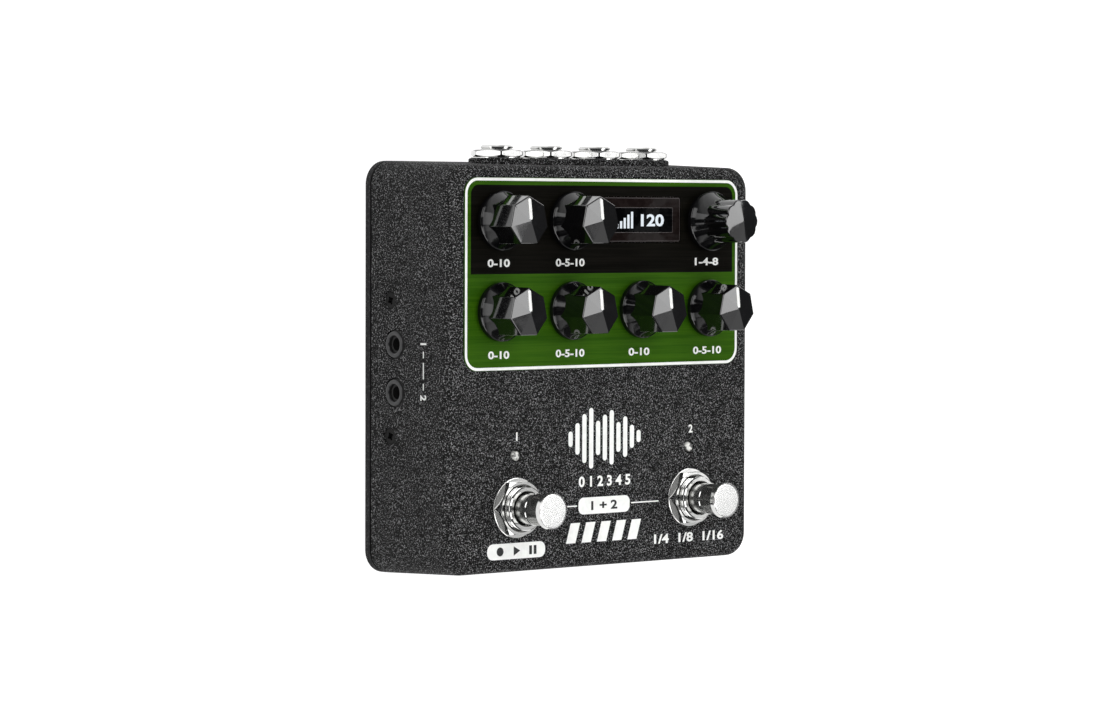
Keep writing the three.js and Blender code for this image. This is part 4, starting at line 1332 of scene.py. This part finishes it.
@dataclass
class Knob:
    """Seven-sided polished knob with a conical skirt and a white pointer line."""

    name: str
    x: float
    y: float
    bottom: float = 35.2
    top: float = 47.9
    skirt: float = 7.95
    skirt_wall: float = 1.5
    rim: float = 0.3
    steepness: float = 1.96
    radius: float = 6.8
    crown: float = 0.8
    chamfer: float = 0.4
    bore: float = 3.25
    bore_flat: float = 1.95
    bore_depth: float = 9.2
    pointer_size: Point2 = (1.0, 5.6)
    pointer_y: float = 3.15
    sides: int = 7
    pointed: bool = True

    def outline(self) -> list[Point2]:
        """Outline of the grip, with a corner towards the rear."""
        return regular(self.sides, self.radius, 0.35, 90.0, 3)

    def waist(self) -> float:
        """Radius at which the skirt runs into the grip."""
        return self.radius * math.cos(math.pi / self.sides)

    def crowned(self, point: Point2) -> float:
        """Height of the shallow cone of the top at a point."""
        return self.top - self.bottom - self.crown * math.hypot(*point) / self.radius

    def flare(self) -> Form:
        """The round skirt, a short rim with a steep cone above it.

        Returns:
            The skirt's form.
        """
        start, end = self.skirt - self.rim, self.waist() - 0.2
        shoulder = self.skirt_wall - self.rim
        profile = [(self.skirt - 0.25, 0.0), (self.skirt, 0.2), (self.skirt, shoulder)]
        profile += arc((start, shoulder), (self.rim, self.rim), QUARTER, 3)
        for step in range(1, 7):
            share = step / 6
            rise = (start - end) * self.steepness * share ** 1.12
            profile.append((start - (start - end) * share, self.skirt_wall + rise))
        return Form().turned(profile, Look.SKIRT, 84)

    def grip(self) -> Form:
        """The faceted grip with its eased top edge and shallow cone.

        Returns:
            The grip's form.
        """
        outline = [Vector(point) for point in self.outline()]
        rings = [[(*p, z) for p in outline] for z in (0.4, 5.0)]
        rim = 1 - (0.12 + self.chamfer) / self.radius
        edge = arc((rim, -self.chamfer), (self.chamfer / self.radius, self.chamfer), QUARTER, 3)
        for share, drop in edge:
            rings.append([(*(p * share), self.crowned(p * rim) + drop) for p in outline])
        for share in (0.8, 0.55, 0.3, 0.1, 0.02):
            rings.append([(*(p * rim * share), self.crowned(p * rim * share)) for p in outline])
        return Form().stack(rings, Look.GLOSS)

    def pointer(self) -> Form:
        """White line inlaid in the top, from the rear corner almost to the middle.

        Returns:
            The line's form.
        """
        outline = rounded(*self.pointer_size, 0.45, 5, (0, self.pointer_y))
        rings = [[(*p, self.crowned(p) + lift) for p in outline] for lift in (-0.25, 0.035)]
        return Form().stack(rings, Look.WHITE)

    def socket(self) -> Form:
        """Bore for the shaft, with its flat."""
        points = [(x, min(y, self.bore_flat)) for x, y in circle(self.bore, 40)]
        return Form().prism(points, -1.0, self.bore_depth, Look.GLOSS)

    def build(self) -> None:
        """Builds the knob and its pointer line."""
        body = f"{self.name}_control"
        place = shift(self.x, self.y, self.bottom)
        knob = self.flare().moved(place).solid(f"{self.name}_knob_cap")
        carved(knob, self.grip().moved(place), Carve.JOIN)
        carved(knob, self.socket().moved(place), Carve.CUT)
        dressed(knob, body, [f"{self.name}_knob"], 26)
        if self.pointed:
            dressed(self.pointer().moved(place).solid(f"{self.name}_pointer_line"), body)


@dataclass
class SelectKnob(Knob):
    """Taller lobed knob that turns without end, is pressed and has no pointer line."""

    bottom: float = 35.6
    top: float = 49.7
    skirt: float = 8.3
    radius: float = 6.25
    lobes: int = 10
    lobe_depth: float = 0.5
    pointed: bool = False

    def outline(self) -> list[Point2]:
        """Outline of the grip, with shallow round lobes.

        Returns:
            The points, anticlockwise.
        """
        points = []
        for x, y in circle(1.0, self.lobes * 8):
            swell = abs(math.cos(math.atan2(y, x) * self.lobes / 2))
            radius = self.radius - self.lobe_depth * (1 - swell)
            points.append((radius * x, radius * y))
        return points

    def waist(self) -> float:
        """Radius at which the skirt runs into the grip."""
        return self.radius - self.lobe_depth


@dataclass
class FootSwitch:
    """Footswitch: case with lugs, threaded bush, flanged nut and sprung button."""

    label: str
    x: float
    under: float = 32.0
    depth: float = 18.0
    side: float = 17.0
    bush: float = 6.0
    bush_height: float = 4.8
    bore: float = 4.5
    chamber: float = 5.7
    shoulder: float = 2.0
    floor: float = 4.0
    lug_pitch: float = 5.0
    nut_across: float = 14.0
    nut_height: float = 2.0
    flange: float = 8.25
    flange_height: float = 0.7
    button_top: float = 50.0
    button: float = 5.0
    button_thick: float = 1.6
    stem: float = 4.2
    collar: float = 5.3
    spigot: float = 2.4
    stem_ring: float = 8.3
    travel: float = 2.2
    spring_foot: float = 18.25
    spring_top: float = 27.95
    coil: float = 3.9
    wire: float = 0.4
    turns: int = 5

    def case(self) -> bpy.types.Object:
        """Plastic case with its lugs, hollow for the spring.

        Returns:
            The case, not yet placed.
        """
        low, ledge = self.under - self.depth, self.under - self.shoulder
        form = Form().prism(rounded(self.side, self.side, 0.8, 4), low, self.under, Look.MATT, 0.3)
        case = form.solid(f"{self.label}_switch_case")
        for place in (-1, 0, 1):
            outline = rounded(0.8, 2.0, 0.16, 2, (place * self.lug_pitch, 0))
            carved(case, Form().prism(outline, low - 4, low + 1, Look.STEEL, 0.15), Carve.JOIN)
        carved(case, rod(self.chamber, low + self.floor, ledge, Look.MATT, 48), Carve.CUT)
        return carved(case, rod(self.bush - 0.05, ledge - 0.5, self.under + 1, Look.MATT, 48), Carve.CUT)

    def thread(self) -> Form:
        """Bush with its thread, bore and eased rim.

        Returns:
            The bush's form.
        """
        top = PLAN.face + self.bush_height
        low = self.under - self.shoulder
        profile = [(self.bore, low), (self.bush - 0.3, low)]
        profile += threads(self.bush, self.under + 0.4, top - 2.4, (0.26, 0.28, 0.08, 0.66))
        crest = self.bush - 0.04
        for groove in (top - 2.1, top - 1.55, top - 0.72):
            profile += [(crest, groove - 0.1), (self.bush - 0.2, groove), (crest, groove + 0.1)]
        profile += [(crest, top - 0.28), (self.bush - 0.3, top)]
        profile += [(self.bore + 0.35, top), (self.bore, top - 0.35)]
        return Form().turned(profile, Look.CHROME, 96, loop=True)

    def nut(self) -> bpy.types.Object:
        """Hexagonal nut with turned-down corners on a round flange.

        Returns:
            The nut, not yet placed.
        """
        height = self.flange_height + self.nut_height
        flat = self.nut_across / 2
        corner = flat / math.cos(math.pi / 6)
        form = Form().prism(regular(6, corner, 0.25, 0.0, 3), 0, height, Look.CHROME)
        nut = form.solid(f"{self.label}_hex_nut")
        edge = corner + 0.15
        curve = [(edge, -1.0), (edge, height - 0.5)]
        for step in range(1, 7):
            share = step / 6
            curve.append((edge - (corner - flat + 0.05) * share ** 1.3, height - 0.5 + 0.53 * share))
        carved(nut, Form().turned(curve, Look.CHROME, 72), Carve.COMMON)
        rim, top = self.flange, self.flange_height
        flange = [(rim - 0.12, 0), (rim, 0.12), (rim, top - 0.3), (rim - 0.1, top - 0.1), (rim - 0.35, top)]
        carved(nut, Form().turned(flange, Look.CHROME, 96), Carve.JOIN)
        bore = [(self.bush + 0.2, -1), (self.bush + 0.2, height - 0.3), (self.bush + 0.6, height + 0.1)]
        return carved(nut, Form().turned(bore, Look.CHROME), Carve.CUT)

    def plunger(self) -> Form:
        """Button, stem, the collar that keeps it in and the spring's spigot.

        Returns:
            The form of the whole plunger.
        """
        top, stem, button, rim = self.button_top, self.stem, self.button, self.collar
        low = top - self.button_thick
        ledge = self.under - self.shoulder - 0.3
        ring, bulge, spigot = PLAN.face + self.stem_ring, stem + 0.16, self.spigot
        profile = [(spigot - 0.2, ledge - 4.5), (spigot, ledge - 4.3), (spigot, ledge - 1.5)]
        profile += [(rim - 0.15, ledge - 1.5), (rim, ledge - 1.35), (rim, ledge - 0.15), (rim - 0.15, ledge)]
        profile += [(stem, ledge), (stem, ring), (bulge, ring + 0.2), (bulge, ring + 0.4), (stem, ring + 0.6)]
        profile += [(stem, low), (button - 0.15, low), (button, low + 0.15), (button - 0.22, top - 0.42)]
        profile += arc((button - 0.52, top - 0.42), (0.3, 0.4), QUARTER, 4, first=1)
        profile += [(button - 0.9, top - 0.012), (2.5, top - 0.004), (0.4, top)]

        def look(level: int) -> Look:
            """Dark collar, spigot and ring, bright stem and button, and a satin top whose raised base colour
            is painted highlight.
            """
            below = Look.STEM if level < 8 or level == 11 else Look.CHROME
            return Look.SATIN_PAINTED_BRIGHT if level >= 19 else below

        return Form().turned(profile, look, 96)

    def spring(self) -> Form:
        """Coil spring with a closed turn at each end.

        Returns:
            The spring's form.
        """
        closed = 2.1 * self.wire
        free = self.spring_top - self.spring_foot - 2 * self.wire - 2 * closed
        pitch = free / (self.turns - 2)
        rings = []
        for step in range(self.turns * 24 + 1):
            turned = step / 24
            climb = closed * min(turned, 1.0) + pitch * min(max(turned - 1.0, 0.0), self.turns - 2.0)
            climb += closed * max(turned - self.turns + 1.0, 0.0)
            out = Vector((math.cos(math.tau * turned), math.sin(math.tau * turned), 0))
            middle = out * self.coil + Vector((0, 0, self.spring_foot + self.wire + climb))
            rings.append([middle + Vector((0, 0, up)) + out * side for up, side in circle(self.wire, 10)])
        return Form().stack(rings, Look.WIRE)

    def build(self) -> None:
        """Builds the switch's pieces."""
        node = f"{self.label}_footswitch"
        here = shift(self.x, PLAN.switch_y)
        dressed(placed(self.case(), here), nodes=[f"{node}_body"])
        thread = self.thread().moved(here).solid(f"{self.label}_threaded_bush")
        dressed(thread, nodes=[f"{node}_body"])
        dressed(placed(self.nut(), here @ shift(z=PLAN.face)), nodes=[f"{node}_nut"])
        plunger = self.plunger().moved(here).solid(f"{self.label}_push_button")
        dressed(plunger, f"{self.label}_button", [f"{node}_plunger"])
        spring = self.spring().moved(here).solid(f"{self.label}_return_spring")
        dressed(spring, nodes=[f"{node}_spring"])
        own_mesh(spring)


@dataclass
class StatusLamp:
    """Small round lamp set in the face."""

    label: str
    x: float
    foot: float = 26.6
    flange: float = 2.1
    radius: float = 1.5
    top: float = 35.4

    def build(self) -> None:
        """Builds the lamp with its flange and dome."""
        dome = arc((0.0, self.top - self.foot - self.radius), (self.radius, self.radius), QUARTER, 9)[:-1]
        profile = [(self.flange, 0), (self.flange, 0.9), (self.flange - 0.1, 1.0), (self.radius, 1.0), *dome]
        form = Form().turned(profile, Look.LAMP, 40).moved(shift(self.x, PLAN.lamp_y, self.foot))
        lamp = form.solid(f"{self.label}_lamp_lens")
        dressed(lamp, nodes=[f"{self.label}_status_lamp"], sharp=40)


@dataclass
class RearJack:
    """Quarter-inch jack: body, threaded bush, thin washer and hexagonal nut, made upwards and laid back."""

    name: str
    x: float
    rear: float
    bush: float = 4.5
    reach: float = 3.6
    bore: float = 3.25
    washer: float = 7.1
    washer_thick: float = 0.4
    nut_across: float = 13.1
    nut_height: float = 1.9

    def body(self) -> bpy.types.Object:
        """Plastic body with its round bore.

        Returns:
            The body, not yet placed.
        """
        width, length, height = PLAN.jack_body
        foot = self.rear - length
        form = Form().prism(rounded(width, height, 0.8, 4), foot, self.rear, Look.MATT, 0.2)
        # The bore's wall is painted near-black: painted shade.
        bore = rod(self.bore, foot + 1.2, self.rear + 2, Look.PAINTED_SHADE, 48)
        return carved(form.solid(f"{self.name}_housing"), bore, Carve.CUT)

    def thread(self) -> Form:
        """Threaded bush with a stepped, eased tip.

        Returns:
            The bush's form.
        """
        tip, foot = PLAN.jack_seat + self.reach, self.rear - 0.5
        step = self.bush - 0.05
        profile = [(self.bore, foot), (self.bush - 0.25, foot)]
        profile += threads(self.bush, self.rear + 0.2, tip - 1.25, (0.24, 0.26, 0.08, 0.62))
        profile += [(self.bush - 0.3, tip - 0.9), (step, tip - 0.72), (step, tip - 0.42)]
        profile += [(self.bush - 0.5, tip), (self.bore + 0.45, tip), (self.bore, tip - 0.45)]
        last = len(profile) - 1
        # The bush's inner bore wall is painted near-black: painted shade.
        return Form().turned(profile, lambda level: Look.CHROME if level < last else Look.PAINTED_SHADE, 80, loop=True)

    def hexagon(self) -> bpy.types.Object:
        """Nut with its corners turned down at both ends, the turned faces painted dark as painted reflection.

        Returns:
            The nut, not yet placed.
        """
        flat = self.nut_across / 2
        corner = flat / math.cos(math.pi / 6)
        height = self.nut_height
        form = Form().prism(regular(6, corner, 0.7, 0.0, 6), 0, height, Look.CHROME)
        nut = form.solid(f"{self.name}_hexagon")
        curve = [(flat - 0.46, -0.05)]
        for step in range(1, 7):
            curve.append((flat - 0.4 + (corner - flat + 0.6) * (step / 6) ** 0.8, 0.68 * step / 6))
        curve += [(radius, height - z) for radius, z in reversed(curve)]
        # The turned-down faces take the dark edge metal, a painted dark reflection.
        carved(nut, Form().turned(curve, Look.PAINTED_DARK_EDGE, 72), Carve.COMMON)
        return carved(nut, rod(self.bush + 0.15, -1, height + 1, Look.CHROME, 48), Carve.CUT)

    def build(self) -> None:
        """Builds the jack's pieces."""
        laid = shift(self.x, 0, PLAN.jack_z) @ BACKWARD
        seat = laid @ shift(z=PLAN.jack_seat)
        node = f"{self.name}_body"
        dressed(placed(self.body(), laid), nodes=[node])
        dressed(self.thread().moved(laid).solid(f"{self.name}_threaded_bush"), nodes=[node])
        inner, outer, thick = self.bush + 0.25, self.washer, self.washer_thick
        flat = [(inner, 0), (outer - 0.08, 0), (outer, 0.08)]
        flat += [(outer, thick - 0.1), (outer - 0.1, thick), (inner, thick)]
        washer = Form().turned(flat, Look.CHROME, 80, loop=True).moved(seat).solid(f"{self.name}_flat_washer")
        dressed(washer, nodes=[f"{self.name}_washer"])
        dressed(placed(self.hexagon(), seat @ shift(z=thick)), nodes=[f"{self.name}_nut"])


@dataclass
class WallFittings:
    """Small sockets and screws in the left wall, and the power inlet in the right wall."""

    case: Case
    socket_body: Point2 = (7.8, 8.0)
    socket_depth: float = 12.5
    socket_bore: float = 1.8
    socket_nose: float = 3.8
    socket_proud: float = 0.5
    inlet_body: Point2 = (11.0, 9.6)
    inlet_depth: float = 13.5
    inlet_bore: float = 3.2
    inlet_nose: float = 4.6
    inlet_sunk: float = 0.3
    pin: float = 1.05
    screw_turn: float = 28.0

    def socket(self, end: str, side: int) -> None:
        """Builds one small socket with a rounded lip.

        Args:
            end: Front or rear.
            side: Which way it lies from the middle.
        """
        inside = self.case.inner_x(PLAN.socket_z + self.socket_body[0] / 2)
        lip = self.case.half_width(PLAN.socket_z) + self.socket_proud
        bore, outer = self.socket_bore, self.socket_nose
        form = Form().prism(rounded(*self.socket_body, 0.5, 3), inside - self.socket_depth, inside, Look.MATT)
        body = form.solid(f"side_socket_housing_{end}")
        nose = [(outer, inside - 1), (outer, lip - 0.75), (outer - 0.18, lip - 0.7), (outer - 0.2, lip - 0.4)]
        nose += arc((outer - 0.82, lip - 0.4), (0.62, 0.4), math.pi, 8, first=1)
        nose += [(bore + 0.5, lip - 0.5), (bore + 0.5, lip - 1.2), (bore, lip - 1.3), (bore, lip - 2.0)]
        # The nose's outer side and its inner steps are painted near-black as painted shade; the lip between
        # keeps the grey plastic.
        form = Form().turned(nose, lambda level: Look.LIP if 2 < level < 12 else Look.PAINTED_SHADE, 56)
        carved(body, form, Carve.JOIN)
        # The socket's bore is painted near-black: painted shade.
        carved(body, rod(bore, lip - 14, lip + 1, Look.PAINTED_SHADE), Carve.CUT)
        placed(body, shift(0, side * PLAN.socket_y, PLAN.socket_z) @ LEFTWARD)
        dressed(body, nodes=[f"side_socket_{end}"], sharp=35)

    def inlet(self) -> None:
        """Builds the power inlet with its centre pin."""
        inside = self.case.inner_x(PLAN.inlet_z + self.inlet_body[0] / 2)
        mouth = self.case.half_width(PLAN.inlet_z) - self.inlet_sunk
        bore, outer, pin = self.inlet_bore, self.inlet_nose, self.pin
        form = Form().prism(rounded(*self.inlet_body, 0.6, 3), inside - self.inlet_depth, inside, Look.MATT)
        body = form.solid("power_inlet_housing")
        nose = [(outer, inside - 1), (outer, mouth - 0.3), (outer - 0.3, mouth), (bore + 0.1, mouth)]
        carved(body, Form().turned(nose, Look.MATT, 56), Carve.JOIN)
        hollow = [(bore, mouth - 10), (bore, mouth - 0.25), (bore + 0.3, mouth + 0.05)]
        # The hollow's wall is painted near-black: painted shade.
        carved(body, Form().turned(hollow, Look.PAINTED_SHADE, 48), Carve.CUT)
        tip = [(pin, mouth - 11), (pin, mouth - 1.9), (pin - 0.15, mouth - 1.6), (pin - 0.55, mouth - 1.5)]
        carved(body, Form().turned(tip, Look.CHROME, 24), Carve.JOIN)
        placed(body, shift(0, self.case.inlet_y, PLAN.inlet_z) @ RIGHTWARD)
        dressed(body, nodes=["power_inlet"], sharp=35)

    def build(self) -> None:
        """Builds the fittings of both side walls, with the screws' crosses turned a little."""
        tilt = Matrix.Rotation(math.radians(self.screw_turn), 4, "Z")
        for end, side in ENDS:
            self.socket(end, side)
            seat = self.case.screw_seat(side) @ tilt
            self.case.side_screw.build(f"wall_screw_{end}", f"side_screw_{end}", seat)
        self.inlet()


class Insides:
    """The CAD nodes that stay as they are and get their finish here."""

    finishes = {
        "black_plastic": Look.MATT,
        "circuit_board": Look.BOARD,
        "shaft_steel": Look.STEEL,
        "spring_steel": Look.WIRE,
        "smoked_lens": Look.SMOKE,
        "gloss_knob": Look.GLOSS,
        "chrome": Look.CHROME,
        "clear_lens": Look.LAMP,
        "black_screw": Look.SCREW,
        "plate_steel": Look.PLATE,
        "panel_print": Look.GREEN,
        "powder_coat": Look.COAT,
    }

    def build(self) -> None:
        """Gives every node of the frame its material."""
        for part in frame["record"]["subparts"]:
            materials = frame["nodes"][part["node"]].data.materials
            materials.clear()
            materials.append(self.finishes[part["material_slot"]].value.material())


@dataclass(frozen=True)
class SoftBox:
    """One soft rectangular light that faces the pedal, with sizes in metres."""

    name: str
    middle: Vector
    across: Vector
    along: Vector
    size: Point2
    brightness: float

    def hang(self) -> None:
        """Hangs the light, which looks as bright from any distance."""
        wide, tall = self.size
        data = bpy.data.lights.new(self.name, "AREA")
        data.shape, data.size, data.size_y = "RECTANGLE", wide, tall
        data.energy = self.brightness * math.pi * wide * tall
        turn = Matrix((self.across, self.along, self.across.cross(self.along))).transposed()
        linked(self.name, data).matrix_world = Matrix.Translation(self.middle) @ turn.to_4x4()


@dataclass
class Studio:
    """Camera at the photograph's angle, soft lights and a plain pale floor."""

    focal: float = 3836.1
    photo_width: float = 1100.0
    sensor: float = 36.0
    yaw: float = 41.0
    pitch: float = 2.122
    roll: float = -0.182
    offset: Point3 = (-14.901, 3.132, 1050.707)
    centre_shift: float = -0.3
    reach: float = 2.5
    ceiling: tuple = (
        ("overhead_key", 44.2, (0.20, 0.475), (-0.1, 0.95), 4.6),
        ("right_fill", 36.0, (0.54, 1.5), (-0.1, 0.46), 0.65),
        ("front_patch", 42.0, (0.6625, 0.90), (0.46, 0.70), 1.5),
        ("front_edge_patch", 42.0, (0.56, 0.6625), (0.40, 0.56), 1.5),
        ("ceiling_upper", 0.0, (-0.28, 0.6), (0.5, 1.3), 3.9),
        ("ceiling_lower", 0.0, (-0.22, 0.6), (-1.3, -0.5), 2.9),
        ("ceiling_upper_left", 0.0, (-0.66, -0.28), (0.5, 1.0), 0.4),
        ("ceiling_lower_left", 0.0, (-0.58, -0.22), (-1.0, -0.5), 0.4),
        ("rear_strip", 0.0, (0.80, 0.97), (0.032, 0.10), 1.9),
    )
    left_wall: tuple = (
        ("left_upper", (0.24, 1.10), (0.23, 1.50), 2.9),
        ("left_lower", (-1.10, -0.34), (0.23, 1.50), 2.5),
        ("left_horizon", (-0.22, 0.60), (0.0, 0.23), 1.9),
        ("left_low", (-0.75, -0.28), (0.0, 0.22), 0.6),
    )
    fill: Colour = (0.9, 0.92, 0.95)
    fill_strength: float = 0.08
    horizon: Point2 = (0.03, 0.15)
    floor_half: float = 6000.0
    floor_grey: float = 0.34
    floor_glow: float = 0.88

    def camera(self) -> None:
        """Makes the camera, fitted to the photograph."""
        angles = ((self.yaw, "Y"), (self.pitch, "X"), (self.roll, "Z"))
        turn = Matrix.Identity(3)
        for angle, axis in angles:
            turn = Matrix.Rotation(math.radians(angle), 3, axis) @ turn
        turn.transpose()
        data = bpy.data.cameras.new("photo_camera")
        data.sensor_fit, data.sensor_width = "HORIZONTAL", self.sensor
        data.lens = self.focal / self.photo_width * self.sensor
        data.clip_start, data.clip_end = 0.05, 20.0
        place = turn @ Vector(self.offset) + Vector((0, self.centre_shift, PLAN.face))
        camera = linked("photo_camera", data)
        camera.matrix_world = Matrix.Translation(place * MM) @ turn.to_4x4()
        bpy.context.scene.camera = camera

    def lights(self) -> None:
        """Hangs the lights of the ceiling and of the wall on the left."""
        for name, turn, (left, right), (low, high), brightness in self.ceiling:
            lean = math.radians(turn)
            across = Vector((math.cos(lean), -math.sin(lean), 0))
            along = Vector((math.sin(lean), math.cos(lean), 0))
            middle = across * (left + right) / 2 + along * (low + high) / 2 + Vector((0, 0, 1))
            size = ((right - left) * self.reach, (high - low) * self.reach)
            SoftBox(name, middle * self.reach, across, along, size, brightness).hang()
        across, along = Vector((0, -1, 0)), Vector((0, 0, 1))
        for name, (front, rear), (low, high), brightness in self.left_wall:
            middle = Vector((-1, (front + rear) / 2, (low + high) / 2))
            size = ((rear - front) * self.reach, (high - low) * self.reach)
            SoftBox(name, middle * self.reach, across, along, size, brightness).hang()

    def world(self) -> None:
        """Makes a world that fills evenly, and is white to the camera and, near the horizon, to mirrors."""
        world = bpy.data.worlds.new("studio_world")
        world.use_nodes = True
        nodes = Nodes(world.node_tree)
        place = nodes.shade("ShaderNodeTexCoord", {}, {}, "Generated")
        height = nodes.shade("ShaderNodeSeparateXYZ", {}, {"Vector": place}, "Z")
        mirrored = nodes.rays("Glossy", "Transmission") * (1.0 - height.band(*self.horizon))
        seen = nodes.rays("Camera").most(mirrored)
        fill = nodes.shade("ShaderNodeBackground", {}, {"Color": self.fill, "Strength": self.fill_strength})
        white = nodes.shade("ShaderNodeBackground", {}, {"Color": (1.0, 1.0, 1.0), "Strength": 1.0})
        both = nodes.shade("ShaderNodeMixShader", {}, {0: seen, 1: fill, 2: white})
        nodes.add("ShaderNodeOutputWorld", {}, {"Surface": both})
        bpy.context.scene.world = world

    def floor(self) -> None:
        """Lays the pale floor, which is white to the camera and keeps the pedal's shadow."""
        half = self.floor_half
        form = Form()
        form.points = [Vector((x, y, -0.02)) for x, y in oblong(-half, half, -half, half)]
        form.face(range(4), Look.WHITE)
        floor = form.solid("studio_floor")
        material = bpy.data.materials.new("pale_floor")
        material.use_nodes = True
        nodes = Nodes(material.node_tree)
        matt = nodes.shade("ShaderNodeBsdfDiffuse", {}, {"Color": (self.floor_grey,) * 3})
        glow = nodes.shade("ShaderNodeEmission", {}, {"Color": (1.0, 1.0, 1.0), "Strength": self.floor_glow})
        lit = nodes.shade("ShaderNodeAddShader", {}, {0: matt, 1: glow})
        seen = nodes.rays("Camera", "Glossy", "Transmission")
        both = nodes.shade("ShaderNodeMixShader", {}, {0: seen, 1: matt, 2: lit})
        nodes.add("ShaderNodeOutputMaterial", {}, {"Surface": both})
        floor.data.materials.clear()
        floor.data.materials.append(material)

    def build(self) -> None:
        """Sets the stage."""
        self.camera()
        self.lights()
        self.world()
        self.floor()
        bpy.context.scene.view_settings.view_transform = "Standard"


def main() -> None:
    """Builds the stage and every sub-assembly in order."""
    logging.basicConfig(level=logging.INFO, format="%(name)s: %(message)s")
    Studio().build()
    Insides().build()
    case = Case()
    case.build()
    Panel().build()
    FacePrints(case).build()
    places = PLAN.knobs
    select = SelectKnob("select", *places.pop("select"))
    for name, (x, y) in places.items():
        Knob(name, x, y).build()
    select.build()
    for label, side in SIDES:
        FootSwitch(label, side * PLAN.switch_x).build()
        StatusLamp(label, side * PLAN.switch_x).build()
    for name, x in zip(("output_jack_1", "output_jack_2", "input_jack_2", "input_jack_1"), PLAN.jacks):
        RearJack(name, x, case.jack_rear).build()
    WallFittings(case).build()


if __name__ == "__main__":
    main()
